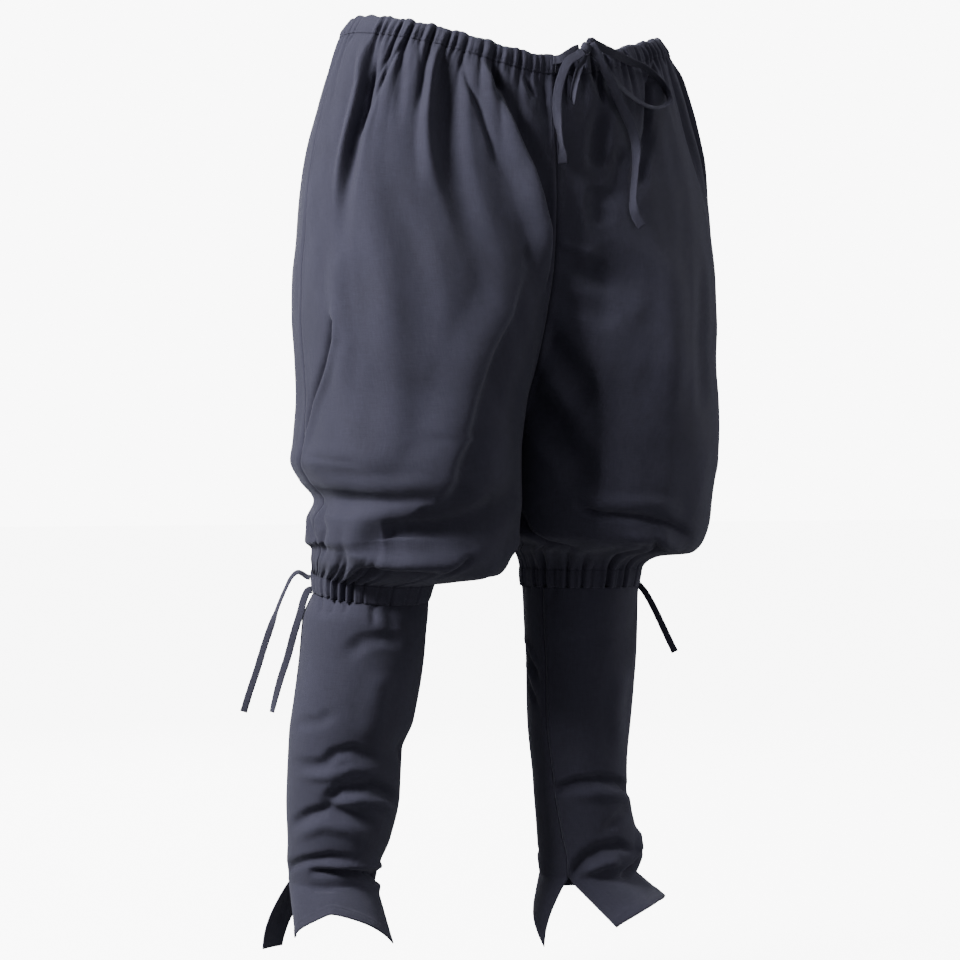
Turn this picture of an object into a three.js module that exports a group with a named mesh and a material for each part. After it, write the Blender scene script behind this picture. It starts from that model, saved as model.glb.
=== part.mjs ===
// Medieval trousers: wide breeches gathered on a drawstring waist and drawn in below each knee,
// over close lower legs that open in a vent on each side of the ankle.
//
// Millimetres, +Z up, as worn and standing. The origin is the middle of the waist opening, level with
// the top of the waistband at the hips. The front faces -Y. Right and left are the wearer's.
//
// Each breeches leg is a tube of rings. The two tubes run into one another above the crotch, where each
// is cut off at the midline, and that line is the crotch seam. A place on a leg is given by
//   across: 0 at the outer seam, 1 at the inner or centre seam by the front, -1 there by the back
//   down:   millimetres of cloth below the waist seam

import * as THREE from "three";

// Cloth and making sizes
const CLOTH = 1.6;
const CASING_WALL = 2.4;
const CASING_PROUD = 0.7;
const SEAM_GAP = 0.3;
const WAIST_CASING = 26;
const KNEE_CASING = 21;
const TAPE = { width: 8, thick: 2 };

// How the waist hangs: it dips at the front slit and a little at the back
const WAIST_DIP = { front: 46, back: 24, power: 1.6, fadeLength: 300 };
const FRONT_SLIT = { length: 112, halfWidth: 2.6 };

// Gathers. Columns of a wall are its ridges and valleys in turn.
const PANEL_COLUMNS = 28;
const WAIST_GATHER = { height: 3, fade: 60 };
const KNEE_GATHER = { height: 2.2, fade: 26 };
const GATHER_VARIATION = 0.45;
const WAIST_RUFFLE = 1.6;

// Rings of the breeches. z is the ring's height, out the distance from the midline to its outer seam,
// centre the distance from the midline to the leg's own centre, shift that centre's place along Y,
// front and back its depths there, and leanOut and leanBack how it rises outwards and backwards.
const WAIST_RINGS = [
  { z: 0, out: 182, centre: 0, shift: 3, front: 116, back: 119, leanOut: 0, leanBack: 0 },
  { z: -22, out: 196, centre: 0, shift: -1, front: 113, back: 124, leanOut: 0, leanBack: 0 },
  { z: -39, out: 205, centre: 4, shift: -2, front: 113, back: 130, leanOut: 0, leanBack: 0 },
  { z: -66, out: 215, centre: 10, shift: -3, front: 113, back: 138, leanOut: 0, leanBack: 0 },
  { z: -104, out: 226, centre: 20, shift: -4, front: 113, back: 146, leanOut: 0, leanBack: 0 },
  { z: -149, out: 237, centre: 36, shift: -5, front: 114, back: 153, leanOut: 0, leanBack: 0 },
  { z: -194, out: 244, centre: 56, shift: -6, front: 117, back: 156, leanOut: 0, leanBack: 0 },
  { z: -239, out: 247, centre: 76, shift: -6, front: 122, back: 155, leanOut: 0, leanBack: 0 },
  { z: -283, out: 250, centre: 92, shift: -3, front: 131, back: 150, leanOut: 0, leanBack: 0 },
  { z: -327, out: 250, centre: 105, shift: -1, front: 136, back: 144, leanOut: 0, leanBack: 0 },
  { z: -372, out: 247, centre: 113, shift: 0, front: 138, back: 138, leanOut: 0, leanBack: 0 },
];
const LEG_RINGS = {
  right: [
    ...WAIST_RINGS,
    { z: -418, out: 244, centre: 118.6, shift: 0, front: 134, back: 134, leanOut: 0, leanBack: 0 },
    { z: -462, out: 248, centre: 124, shift: 0, front: 132, back: 132, leanOut: 0, leanBack: 0 },
    { z: -484, out: 252, centre: 126, shift: 0, front: 130, back: 130, leanOut: 0, leanBack: 0 },
    { z: -506, out: 241, centre: 120.5, shift: 0, front: 129, back: 128, leanOut: 0, leanBack: 0 },
    { z: -528, out: 224, centre: 112, shift: 0, front: 126, back: 125, leanOut: 0, leanBack: 0 },
    { z: -550, out: 235, centre: 118.5, shift: 0, front: 124, back: 122, leanOut: 0, leanBack: 0 },
    { z: -572, out: 235, centre: 119, shift: 1, front: 119, back: 117, leanOut: 0, leanBack: 0 },
    { z: -586, out: 227, centre: 118.5, shift: 4, front: 112, back: 107, leanOut: 0.04, leanBack: 0.02 },
    { z: -600, out: 226, centre: 122, shift: 10, front: 104, back: 98, leanOut: 0.07, leanBack: 0.06 },
    { z: -608, out: 220, centre: 135, shift: 24, front: 84, back: 82, leanOut: 0.05, leanBack: 0.1 },
    { z: -613, out: 214, centre: 145.5, shift: 41, front: 69, back: 69, leanOut: 0.034, leanBack: 0.13 },
    { z: -634, out: 210.5, centre: 147, shift: 45, front: 64, back: 64, leanOut: 0.034, leanBack: 0.13 },
  ],
  left: [
    ...WAIST_RINGS,
    { z: -415, out: 250, centre: 121.6, shift: 0, front: 134, back: 134, leanOut: 0, leanBack: 0 },
    { z: -460, out: 252, centre: 126, shift: 0, front: 132, back: 132, leanOut: 0, leanBack: 0 },
    { z: -483, out: 252, centre: 126, shift: 0, front: 130, back: 130, leanOut: 0, leanBack: 0 },
    { z: -506, out: 248, centre: 124, shift: 0, front: 129, back: 129, leanOut: 0, leanBack: 0 },
    { z: -529, out: 245, centre: 122.5, shift: 0, front: 126, back: 125, leanOut: 0, leanBack: 0 },
    { z: -552, out: 243, centre: 123, shift: 0, front: 121, back: 119, leanOut: 0, leanBack: 0 },
    { z: -572, out: 236, centre: 120.5, shift: 2, front: 115, back: 113, leanOut: -0.04, leanBack: 0 },
    { z: -582, out: 224, centre: 121, shift: 4, front: 104, back: 102, leanOut: -0.07, leanBack: 0 },
    { z: -590, out: 196, centre: 113, shift: 26, front: 82, back: 82, leanOut: -0.04, leanBack: 0 },
    { z: -606, out: 183, centre: 113, shift: 37, front: 70, back: 70, leanOut: 0, leanBack: 0 },
    { z: -627, out: 180, centre: 113.5, shift: 41, front: 67, back: 67, leanOut: 0, leanBack: 0 },
  ],
};

// Rings of the lower legs. x and y place the centre, x outwards from the midline, wide and deep are
// half sizes, and turn is how many degrees the ring is turned out, toes away from the midline.
const SHIN_RINGS = {
  right: [
    { z: -634, x: 147, y: 45, wide: 63.5, deep: 63.5, turn: 24, leanOut: 0.034, leanBack: 0.13 },
    { z: -660, x: 154, y: 46, wide: 69, deep: 69, turn: 24, leanOut: 0.01, leanBack: 0.04 },
    { z: -706, x: 158, y: 47, wide: 69, deep: 68, turn: 24, leanOut: 0, leanBack: 0 },
    { z: -772, x: 166, y: 55, wide: 68, deep: 67, turn: 24, leanOut: 0, leanBack: 0 },
    { z: -805, x: 172, y: 60, wide: 63, deep: 63, turn: 24, leanOut: 0, leanBack: 0 },
    { z: -855, x: 172, y: 66, wide: 63, deep: 62, turn: 24, leanOut: 0, leanBack: 0 },
    { z: -904, x: 175, y: 70, wide: 57, deep: 58, turn: 24, leanOut: 0, leanBack: 0 },
    { z: -938, x: 181, y: 74, wide: 50, deep: 52, turn: 24, leanOut: 0, leanBack: 0 },
    { z: -952, x: 181, y: 76, wide: 48, deep: 51, turn: 24, leanOut: 0, leanBack: 0 },
  ],
  left: [
    { z: -627, x: 113.5, y: 41, wide: 67, deep: 67, turn: 22, leanOut: 0, leanBack: 0 },
    { z: -672, x: 115, y: 43, wide: 66, deep: 65, turn: 22, leanOut: 0, leanBack: 0 },
    { z: -714, x: 117, y: 46, wide: 64, deep: 63, turn: 23, leanOut: 0, leanBack: 0 },
    { z: -783, x: 118, y: 53, wide: 60, deep: 60, turn: 24, leanOut: 0, leanBack: 0 },
    { z: -852, x: 122, y: 58, wide: 54, deep: 55, turn: 28, leanOut: 0, leanBack: 0 },
    { z: -912, x: 135, y: 66, wide: 59, deep: 58, turn: 33, leanOut: 0, leanBack: 0 },
    { z: -940, x: 142, y: 70, wide: 62, deep: 62, turn: 36, leanOut: 0, leanBack: 0 },
    { z: -962, x: 140, y: 72, wide: 58, deep: 57, turn: 38, leanOut: 0, leanBack: 0 },
  ],
};

// The flaps below the vents, at the outer corner, the middle and the inner corner of each: how long it
// hangs, how far it swings away from the ankle and how far it spreads sideways.
const FLAPS = {
  right: {
    front: [
      { long: 58, swing: 34, spread: -9 },
      { long: 25, swing: 30, spread: 0 },
      { long: 64, swing: 38, spread: 20 },
    ],
    back: [
      { long: 84, swing: 22, spread: 33 },
      { long: 26, swing: 10, spread: 0 },
      { long: 30, swing: 8, spread: 2 },
    ],
  },
  left: {
    front: [
      { long: 26, swing: 40, spread: 4 },
      { long: 27, swing: 34, spread: 0 },
      { long: 52, swing: 62, spread: 2 },
    ],
    back: [
      { long: 26, swing: 4, spread: 0 },
      { long: 24, swing: 0, spread: 0 },
      { long: 78, swing: 22, spread: 16 },
    ],
  },
};

// The largest folds of each breeches leg. A path lists places as [across, down].
const PANEL_WIDTH = 330;
const FOLDS = {
  right: [
    { depth: -8, width: 24, path: [[0.6, 0], [0.61, 75], [0.63, 165], [0.7, 240], [0.76, 320]] },
    { depth: 6, width: 20, path: [[0.79, 25], [0.83, 90], [0.9, 160], [0.95, 215], [0.97, 300]] },
    { depth: -5, width: 18, path: [[0.86, 40], [0.92, 100], [0.96, 150]] },
    { depth: -6, width: 18, path: [[0.41, 0], [0.36, 45], [0.3, 100], [0.23, 200]] },
    { depth: -7, width: 18, path: [[0.17, 268], [0.18, 333], [0.08, 405], [0.01, 480]] },
    { depth: -9, width: 24, path: [[0.22, 550], [0.4, 536], [0.6, 518]] },
    { depth: 5, width: 30, path: [[0.45, 180], [0.45, 300], [0.5, 420]] },
    { depth: -7, width: 22, path: [[-0.3, 5], [-0.34, 100], [-0.44, 230]] },
    { depth: -8, width: 24, path: [[-0.68, 5], [-0.6, 90], [-0.52, 200]] },
    { depth: -7, width: 20, path: [[-0.96, 330], [-0.7, 305], [-0.42, 300]] },
    { depth: -9, width: 24, path: [[-0.2, 540], [-0.45, 526], [-0.75, 545]] },
    { depth: 6, width: 34, path: [[-0.5, 260], [-0.45, 360], [-0.5, 450]] },
  ],
  left: [
    { depth: -7, width: 18, path: [[0.99, 240], [0.85, 250], [0.66, 246]] },
    { depth: -8, width: 20, path: [[0.74, 520], [0.52, 535], [0.33, 560]] },
    { depth: -5, width: 22, path: [[0.83, 60], [0.86, 150], [0.91, 215]] },
    { depth: -5, width: 20, path: [[0.66, 5], [0.68, 85], [0.76, 160]] },
    { depth: -6, width: 20, path: [[0.36, 0], [0.33, 90], [0.24, 210]] },
    { depth: 5, width: 32, path: [[0.5, 200], [0.48, 320], [0.52, 430]] },
    { depth: -7, width: 22, path: [[-0.36, 5], [-0.4, 120], [-0.5, 250]] },
    { depth: -7, width: 24, path: [[-0.72, 5], [-0.66, 80], [-0.5, 190]] },
    { depth: -7, width: 20, path: [[-0.95, 345], [-0.72, 318], [-0.4, 322]] },
    { depth: -9, width: 24, path: [[-0.18, 552], [-0.5, 540], [-0.8, 532]] },
    { depth: 6, width: 34, path: [[-0.42, 300], [-0.5, 380], [-0.46, 470]] },
  ],
};

// The ties, as paths of [x, y, z]. Each tape starts with its flat side facing away, and turns by twist
// degrees along its length.
const KNOT = { centre: [31, -126.5, -39], half: [7, 5.5, 7] };
const TIES = {
  waist_tie_lead: {
    away: [0, -1, 0], twist: 0, steps: 16,
    path: [
      [-1.45, -116.65, -56], [0, -117.6, -55.8], [2.6, -121, -54.6], [7, -123.8, -50.6], [15, -124.2, -44.5],
      [20, -124.2, -41], [23.6, -124.1, -39.7],
    ],
  },
  waist_tie_loop_long: {
    away: [0.2, -1, 0], twist: 40, steps: 40,
    path: [
      [35.4, -126.5, -33.2], [40, -126.5, -29], [50, -125, -27], [71, -120, -32], [95, -111, -41],
      [119, -101, -50], [139, -91, -59], [152, -88, -70], [155, -92, -82], [145, -99, -91], [128, -106, -95],
      [111, -111, -93], [93, -115, -86], [77, -118, -76], [62, -120, -63], [50, -122, -51], [43, -123.4, -44.5],
      [37.8, -123.5, -41.7],
    ],
  },
  waist_tie_loop_short: {
    away: [0, -1, 0], twist: 0, steps: 44,
    path: [
      [30, -126, -46.6], [27, -126.6, -53], [22, -127.4, -63], [18, -127.6, -78], [16, -127.2, -90],
      [16, -125.8, -96], [16.8, -123.4, -97.4], [17.6, -121.2, -95], [19.4, -120.8, -80], [23.6, -121.4, -64],
      [28.4, -122.4, -52], [30.3, -123, -46],
    ],
  },
  waist_tie_tail_long: {
    away: [0, -1, 0], twist: 50, steps: 32,
    path: [
      [34.9, -129.8, -44.2], [41, -130, -50.5], [48, -129, -57], [57, -127, -66], [67, -124, -80], [78, -121, -98],
      [89, -119, -115], [96, -118, -132], [97, -120, -150], [94, -123, -169], [90, -126, -190],
      [88, -129, -207], [91, -131, -220], [97, -133, -230],
    ],
  },
  waist_tie_tail_short: {
    away: [0, -1, 0], twist: -30, steps: 20,
    path: [
      [25.85, -129.4, -43.4], [18, -129, -49], [9, -128, -55], [3, -127, -67], [-1, -124, -84], [-2, -122, -101],
      [-1, -122, -120], [2, -122, -137], [4, -123, -152], [4, -124, -165],
    ],
  },
  knee_tie_tail_long_right: {
    away: [-0.44, -0.9, 0], twist: 20, steps: 26,
    path: [
      [-208.4, 73.2, -614], [-212, 75, -613], [-216.5, 76.4, -609.8], [-222, 77, -608], [-229, 77, -613], [-236, 78, -626],
      [-243, 80, -643], [-250, 82, -663], [-258, 85, -688], [-266, 88, -716], [-273, 92, -740], [-279, 95, -762],
    ],
  },
  knee_tie_tail_short_right: {
    away: [-0.44, -0.9, 0], twist: -20, steps: 22,
    path: [
      [-209.9, 65.2, -627], [-214, 66.5, -628.5], [-219, 65.5, -637], [-225, 64, -655], [-232, 64, -676],
      [-238, 67, -701], [-244, 72, -724], [-249, 75, -745], [-253, 76, -762],
    ],
  },
  knee_tie_tail_left: {
    away: [-0.44, -0.9, 0], twist: 10, steps: 16,
    path: [
      [176.4, 6.6, -620.1], [180.5, 4.2, -622.5], [184, 1, -632], [186, -1, -643], [190, -4, -656],
      [195, -7, -671], [200, -12, -687], [206, -16, -703],
    ],
  },
};

const SIGN = { right: -1, left: 1 };
const PIECES = new THREE.Group();

// A smooth curve through values at given stations that never swings past them.
class Track {
  constructor(stations, values) {
    this.stations = stations;
    this.values = values;
    const steps = values.slice(1).map((v, i) => (v - values[i]) / (stations[i + 1] - stations[i]));
    this.slopes = values.map((_, i) => {
      if (i === 0) return steps[0];
      if (i === values.length - 1) return steps[i - 1];
      const [before, after] = [steps[i - 1], steps[i]];
      return before * after <= 0 ? 0 : (2 * before * after) / (before + after);
    });
  }

  at(s) {
    const { stations, values, slopes } = this;
    const last = stations.length - 1;
    let i = 0;
    while (i < last - 1 && s > stations[i + 1]) i += 1;
    const h = stations[i + 1] - stations[i];
    const t = (s - stations[i]) / h;
    if (t < 0) return values[0] + slopes[0] * (s - stations[0]);
    if (t > 1) return values[last] + slopes[last] * (s - stations[last]);
    const a = (1 + 2 * t) * (1 - t) ** 2;
    const b = t * (1 - t) ** 2;
    const c = t * t * (3 - 2 * t);
    const d = t * t * (t - 1);
    return a * values[i] + b * h * slopes[i] + c * values[i + 1] + d * h * slopes[i + 1];
  }
}

const smooth = (low, high, x) => THREE.MathUtils.smoothstep(x, low, high);

// Tracks for each column of a ring table, by distance down the cloth from a given row.
function tracksOf(rings, side, zeroRow) {
  const down = [0];
  for (let i = 1; i < rings.length; i += 1) {
    const step = Math.hypot(rings[i].z - rings[i - 1].z, rings[i][side] - rings[i - 1][side]);
    down.push(down[i - 1] + step);
  }
  const stations = down.map((d) => d - down[zeroRow]);
  const columns = Object.keys(rings[0]);
  const tracks = Object.fromEntries(columns.map((c) => [c, new Track(stations, rings.map((r) => r[c]))]));
  return { tracks, first: stations[0], last: stations[stations.length - 1], stations };
}

const BREECHES = {};
const SHINS = {};
for (const side of ["right", "left"]) {
  BREECHES[side] = tracksOf(LEG_RINGS[side], "out", 1);
  SHINS[side] = tracksOf(SHIN_RINGS[side], "wide", 0);
}

// The height that the folds give the cloth at a place. A fold runs along its path of places, rises or
// sinks by its depth, is as wide as twice its width, and fades out towards its ends.
function foldHeight(side, across, down) {
  let height = 0;
  for (const fold of FOLDS[side]) {
    let nearest = Infinity;
    let along = 0;
    const links = fold.path.length - 1;
    for (let i = 0; i < links; i += 1) {
      const [ax, ay] = [fold.path[i][0] * PANEL_WIDTH, fold.path[i][1]];
      const [dx, dy] = [fold.path[i + 1][0] * PANEL_WIDTH - ax, fold.path[i + 1][1] - ay];
      const [px, py] = [across * PANEL_WIDTH - ax, down - ay];
      const t = THREE.MathUtils.clamp((px * dx + py * dy) / (dx * dx + dy * dy), 0, 1);
      const distance = Math.hypot(px - t * dx, py - t * dy);
      if (distance < nearest) {
        nearest = distance;
        along = (i + t) / links;
      }
    }
    if (nearest < fold.width) {
      const fade = smooth(-0.1, 0.25, along) * smooth(-0.1, 0.3, 1 - along);
      height += fold.depth * fade * 0.5 * (1 + Math.cos((Math.PI * nearest) / fold.width));
    }
  }
  return height;
}

// A place on a breeches leg, before its gathers.
function legPoint(side, across, down) {
  const { tracks } = BREECHES[side];
  const ring = Object.fromEntries(Object.entries(tracks).map(([c, track]) => [c, track.at(down)]));
  const half = ring.out - ring.centre;
  const end = ring.centre < half ? Math.acos(-ring.centre / half) : Math.PI;
  const angle = across * end;
  const depth = angle > 0 ? ring.front : ring.back;
  const x = ring.centre + half * Math.cos(angle);
  const y = ring.shift - depth * Math.sin(angle);
  const facing = (y - ring.shift) / Math.hypot(x, y - ring.shift);
  const dip = (facing < 0 ? WAIST_DIP.front : WAIST_DIP.back) * Math.abs(facing) ** WAIST_DIP.power;
  const lean = ring.leanOut * (x - ring.centre) + ring.leanBack * (y - ring.shift);
  const z = ring.z - dip * (1 - smooth(0, WAIST_DIP.fadeLength, down)) + lean;
  return new THREE.Vector3(SIGN[side] * x, y, z);
}

// A place on a lower leg, before its flaps.
function shinPoint(side, across, down) {
  const { tracks } = SHINS[side];
  const ring = Object.fromEntries(Object.entries(tracks).map(([c, track]) => [c, track.at(down)]));
  const angle = across * Math.PI;
  const [out, forward] = [ring.wide * Math.cos(angle), ring.deep * Math.sin(angle)];
  const turn = THREE.MathUtils.degToRad(ring.turn);
  const x = out * Math.cos(turn) + forward * Math.sin(turn);
  const y = out * Math.sin(turn) - forward * Math.cos(turn);
  const z = ring.z + ring.leanOut * x + ring.leanBack * y;
  return new THREE.Vector3(SIGN[side] * (ring.x + x), ring.y + y, z);
}

// The outward direction of a surface given as a function of two numbers.
function outward(surface, a, b, side) {
  const [da, db] = [0.004, 1.5];
  const along = surface(a + da, b).sub(surface(a - da, b));
  const downwards = surface(a, b + db).sub(surface(a, b - db));
  return along.cross(downwards).normalize().multiplyScalar(SIGN[side]);
}

// A closed wall from outer and inner grids of points. A ring's columns close on themselves.
function wallGeometry(outer, inner, isRing) {
  const [rows, columns] = [outer.length, outer[0].length];
  const [outerFlat, innerFlat] = [outer.flat(), inner.flat()];
  const positions = [...outerFlat, ...innerFlat].flatMap((p) => [p.x, p.y, p.z]);
  const index = [];
  const outside = (r, c) => r * columns + (c % columns);
  const inside = (r, c) => rows * columns + outside(r, c);
  const place = (i) => (i < rows * columns ? outerFlat : innerFlat)[i % (rows * columns)];
  const quad = (a, b, c, d) => {
    const alongAC = place(a).distanceTo(place(c)) <= place(b).distanceTo(place(d));
    index.push(...(alongAC ? [a, b, c, a, c, d] : [b, c, d, b, d, a]));
  };
  const lastColumn = isRing ? columns : columns - 1;
  for (let r = 0; r < rows - 1; r += 1) {
    for (let c = 0; c < lastColumn; c += 1) {
      quad(outside(r, c), outside(r + 1, c), outside(r + 1, c + 1), outside(r, c + 1));
      quad(inside(r, c), inside(r, c + 1), inside(r + 1, c + 1), inside(r + 1, c));
    }
  }
  for (let c = 0; c < lastColumn; c += 1) {
    quad(outside(0, c), outside(0, c + 1), inside(0, c + 1), inside(0, c));
    quad(outside(rows - 1, c + 1), outside(rows - 1, c), inside(rows - 1, c), inside(rows - 1, c + 1));
  }
  if (!isRing) {
    for (let r = 0; r < rows - 1; r += 1) {
      quad(outside(r + 1, 0), outside(r, 0), inside(r, 0), inside(r + 1, 0));
      const c = columns - 1;
      quad(outside(r, c), outside(r + 1, c), inside(r + 1, c), inside(r, c));
    }
  }
  const geometry = new THREE.BufferGeometry();
  geometry.setAttribute("position", new THREE.Float32BufferAttribute(positions, 3));
  geometry.setIndex(index);
  return facingOut(geometry);
}

// Turns the faces of a closed geometry round if they point inwards.
function facingOut(geometry) {
  const p = geometry.getAttribute("position");
  const index = geometry.getIndex().array;
  const [a, b, c] = [new THREE.Vector3(), new THREE.Vector3(), new THREE.Vector3()];
  let volume = 0;
  for (let i = 0; i < index.length; i += 3) {
    a.fromBufferAttribute(p, index[i]);
    b.fromBufferAttribute(p, index[i + 1]);
    c.fromBufferAttribute(p, index[i + 2]);
    volume += a.dot(b.cross(c));
  }
  if (volume < 0) index.reverse();
  geometry.computeVertexNormals();
  return geometry;
}

const CLOTH_LOOK = new THREE.MeshStandardMaterial({ color: 0x3f3f4c, roughness: 0.9, metalness: 0 });
const TAPE_LOOK = new THREE.MeshStandardMaterial({ color: 0x3a3a46, roughness: 0.85, metalness: 0 });

function addPiece(name, geometry, material = CLOTH_LOOK) {
  const mesh = new THREE.Mesh(geometry, material);
  mesh.name = name;
  PIECES.add(mesh);
}

// Keeps a point on its own side of the midline.
function keepOnSide(point, side, least) {
  if (point.x * SIGN[side] < least) point.x = SIGN[side] * least;
  return point;
}

// The height of a gather on a column, uneven from one to the next.
function gatherHeight(size, column, distance) {
  const uneven = 1 - GATHER_VARIATION * (0.5 + 0.5 * Math.sin(2.4 * column + 0.7));
  return (column % 2 ? -1 : 1) * size.height * uneven * Math.exp(-Math.abs(distance) / size.fade);
}

// The half gap at the centre seam, which the front slit opens near the waist.
function centreGap(across, down) {
  const open = across > 0 ? FRONT_SLIT.halfWidth * (1 - smooth(0, FRONT_SLIT.length, down)) : 0;
  return SEAM_GAP / 2 + open;
}

// Where the breeches end and the knee casing starts.
const kneeSeam = (side) => BREECHES[side].last - KNEE_CASING;

const PANEL_ROWS = [0, 0.035, 0.085, 0.16, 0.25, 0.35, 0.45, 0.55, 0.65, 0.74, 0.82, 0.88, 0.925, 0.96, 1];

function addBreechesPanel(side, face) {
  const [top, bottom] = [SEAM_GAP, kneeSeam(side) - SEAM_GAP];
  const [outer, inner] = [[], []];
  const surface = (a, d) => legPoint(side, a, d);
  for (const share of PANEL_ROWS) {
    const down = top + share * (bottom - top);
    const [outerRow, innerRow] = [[], []];
    for (let column = 0; column <= PANEL_COLUMNS; column += 1) {
      const edge = SEAM_GAP / 2 / PANEL_WIDTH;
      const across = face * THREE.MathUtils.lerp(edge, 1 - edge, column / PANEL_COLUMNS);
      const isEdge = column === 0 || column === PANEL_COLUMNS;
      const normal = outward(surface, isEdge ? Math.round(across) : across, down, side);
      const gather = gatherHeight(WAIST_GATHER, column, down) + gatherHeight(KNEE_GATHER, column, bottom - down);
      const height = isEdge ? 0 : gather + foldHeight(side, across, down);
      const point = surface(across, down).addScaledVector(normal, height);
      const gap = centreGap(across * (column > PANEL_COLUMNS / 2 ? 1 : 0), down);
      outerRow.push(keepOnSide(point, side, gap));
      innerRow.push(keepOnSide(point.clone().addScaledVector(normal, -CLOTH), side, gap));
    }
    outer.push(outerRow);
    inner.push(innerRow);
  }
  addPiece(`breeches_${face > 0 ? "front" : "back"}_${side}`, wallGeometry(outer, inner, false));
}

// The waist casing: one strip from the front slit round the body and back to the slit.
function addWaistCasing() {
  const stations = [];
  for (let column = PANEL_COLUMNS; column >= -PANEL_COLUMNS; column -= 1) {
    stations.push({ side: "right", across: column / PANEL_COLUMNS, column: Math.abs(column) });
  }
  for (let column = -PANEL_COLUMNS + 1; column <= PANEL_COLUMNS; column += 1) {
    stations.push({ side: "left", across: column / PANEL_COLUMNS, column: Math.abs(column) });
  }
  const rows = [0, 0.5, 1].map((share) => -WAIST_CASING * (1 - share));
  const [outer, inner] = [[], []];
  for (const down of rows) {
    const [outerRow, innerRow] = [[], []];
    for (const { side, across, column } of stations) {
      const surface = (a, d) => legPoint(side, a, d);
      const normal = outward(surface, across * 0.98, down, side);
      const puff = down === rows[1] ? CASING_PROUD : 0;
      const height = gatherHeight(WAIST_GATHER, column, 0) + CASING_PROUD + puff;
      const point = surface(across, down).addScaledVector(normal, height);
      if (down === rows[0]) point.z += WAIST_RUFFLE * Math.sin(1.9 * column);
      const atFront = across === 1;
      const gap = atFront ? FRONT_SLIT.halfWidth : 0;
      if (across === -1) point.x = 0;
      const within = point.clone().addScaledVector(normal, -CASING_WALL);
      if (across === -1) within.x = 0;
      outerRow.push(atFront ? keepOnSide(point, side, gap) : point);
      innerRow.push(atFront ? keepOnSide(within, side, gap) : within);
    }
    outer.push(outerRow);
    inner.push(innerRow);
  }
  addPiece("waist_casing", wallGeometry(outer, inner, false));
}

// A knee casing: a gathered ring that the breeches are drawn in by.
const KNEE_COLUMNS = 48;

function addKneeCasing(side) {
  const start = kneeSeam(side) + 2 * SEAM_GAP;
  const rows = [0, 0.5, 1].map((share) => start + share * (BREECHES[side].last - SEAM_GAP - start));
  const [outer, inner] = [[], []];
  for (const down of rows) {
    const [outerRow, innerRow] = [[], []];
    for (let column = 0; column < KNEE_COLUMNS; column += 1) {
      const across = -1 + (2 * column) / KNEE_COLUMNS;
      const surface = (a, d) => legPoint(side, a, d);
      const normal = outward(surface, across, down, side);
      const puff = down === rows[1] ? CASING_PROUD : 0;
      const height = gatherHeight(KNEE_GATHER, column, 0) + CASING_PROUD + puff;
      const point = surface(across, down).addScaledVector(normal, height);
      outerRow.push(point);
      innerRow.push(point.clone().addScaledVector(normal, -CASING_WALL));
    }
    outer.push(outerRow);
    inner.push(innerRow);
  }
  addPiece(`knee_casing_${side}`, wallGeometry(outer, inner, true));
}

// A lower leg panel: from the knee casing to the vents, then its flap.
const SHIN_COLUMNS = 14;
const SHIN_ROWS = [0, 0.08, 0.18, 0.3, 0.42, 0.54, 0.66, 0.78, 0.89, 1];
const FLAP_ROWS = [0.25, 0.5, 0.75, 1];
const SHIN_WIDTH = 180;

function flapPoint(side, face, across, share) {
  const [outer, middle, inner] = face > 0 ? FLAPS[side].front : FLAPS[side].back;
  const ring = SHIN_RINGS[side][SHIN_RINGS[side].length - 1];
  const turn = THREE.MathUtils.degToRad(ring.turn);
  const toOuter = Math.max(0, 1 - 2 * Math.abs(across)) ** 1.5;
  const toInner = Math.max(0, 2 * Math.abs(across) - 1) ** 1.5;
  const mix = (key) =>
    middle[key] + (outer[key] - middle[key]) * toOuter + (inner[key] - middle[key]) * toInner;
  const flare = face > 0 ? share : Math.sin((share * Math.PI) / 2);
  const swing = mix("swing") * flare * face;
  const spread = (outer.spread * toOuter - inner.spread * toInner) * flare;
  const point = shinPoint(side, across, SHINS[side].last);
  point.x += SIGN[side] * (Math.sin(turn) * swing + Math.cos(turn) * spread);
  point.y += -Math.cos(turn) * swing + Math.sin(turn) * spread;
  point.z -= mix("long") * share;
  return point;
}

function addShinPanel(side, face) {
  const { last } = SHINS[side];
  const top = SEAM_GAP;
  const [outer, inner] = [[], []];
  const stations = [
    ...SHIN_ROWS.map((share) => ({ down: top + share * (last - top), flap: 0 })),
    ...FLAP_ROWS.map((share) => ({ down: last, flap: share })),
  ];
  for (const { down, flap } of stations) {
    const surface = (a, d) => (flap > 0 ? flapPoint(side, face, a, flap + (d - down) / 60) : shinPoint(side, a, d));
    const [outerRow, innerRow] = [[], []];
    for (let column = 0; column <= SHIN_COLUMNS; column += 1) {
      const edge = SEAM_GAP / 2 / SHIN_WIDTH;
      const across = face * THREE.MathUtils.lerp(edge, 1 - edge, column / SHIN_COLUMNS);
      const normal = outward(surface, across, down, side);
      const point = surface(across, down);
      outerRow.push(point);
      innerRow.push(point.clone().addScaledVector(normal, -CLOTH));
    }
    outer.push(outerRow);
    inner.push(innerRow);
  }
  addPiece(`shin_${face > 0 ? "front" : "back"}_${side}`, wallGeometry(outer, inner, false));
}

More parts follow.
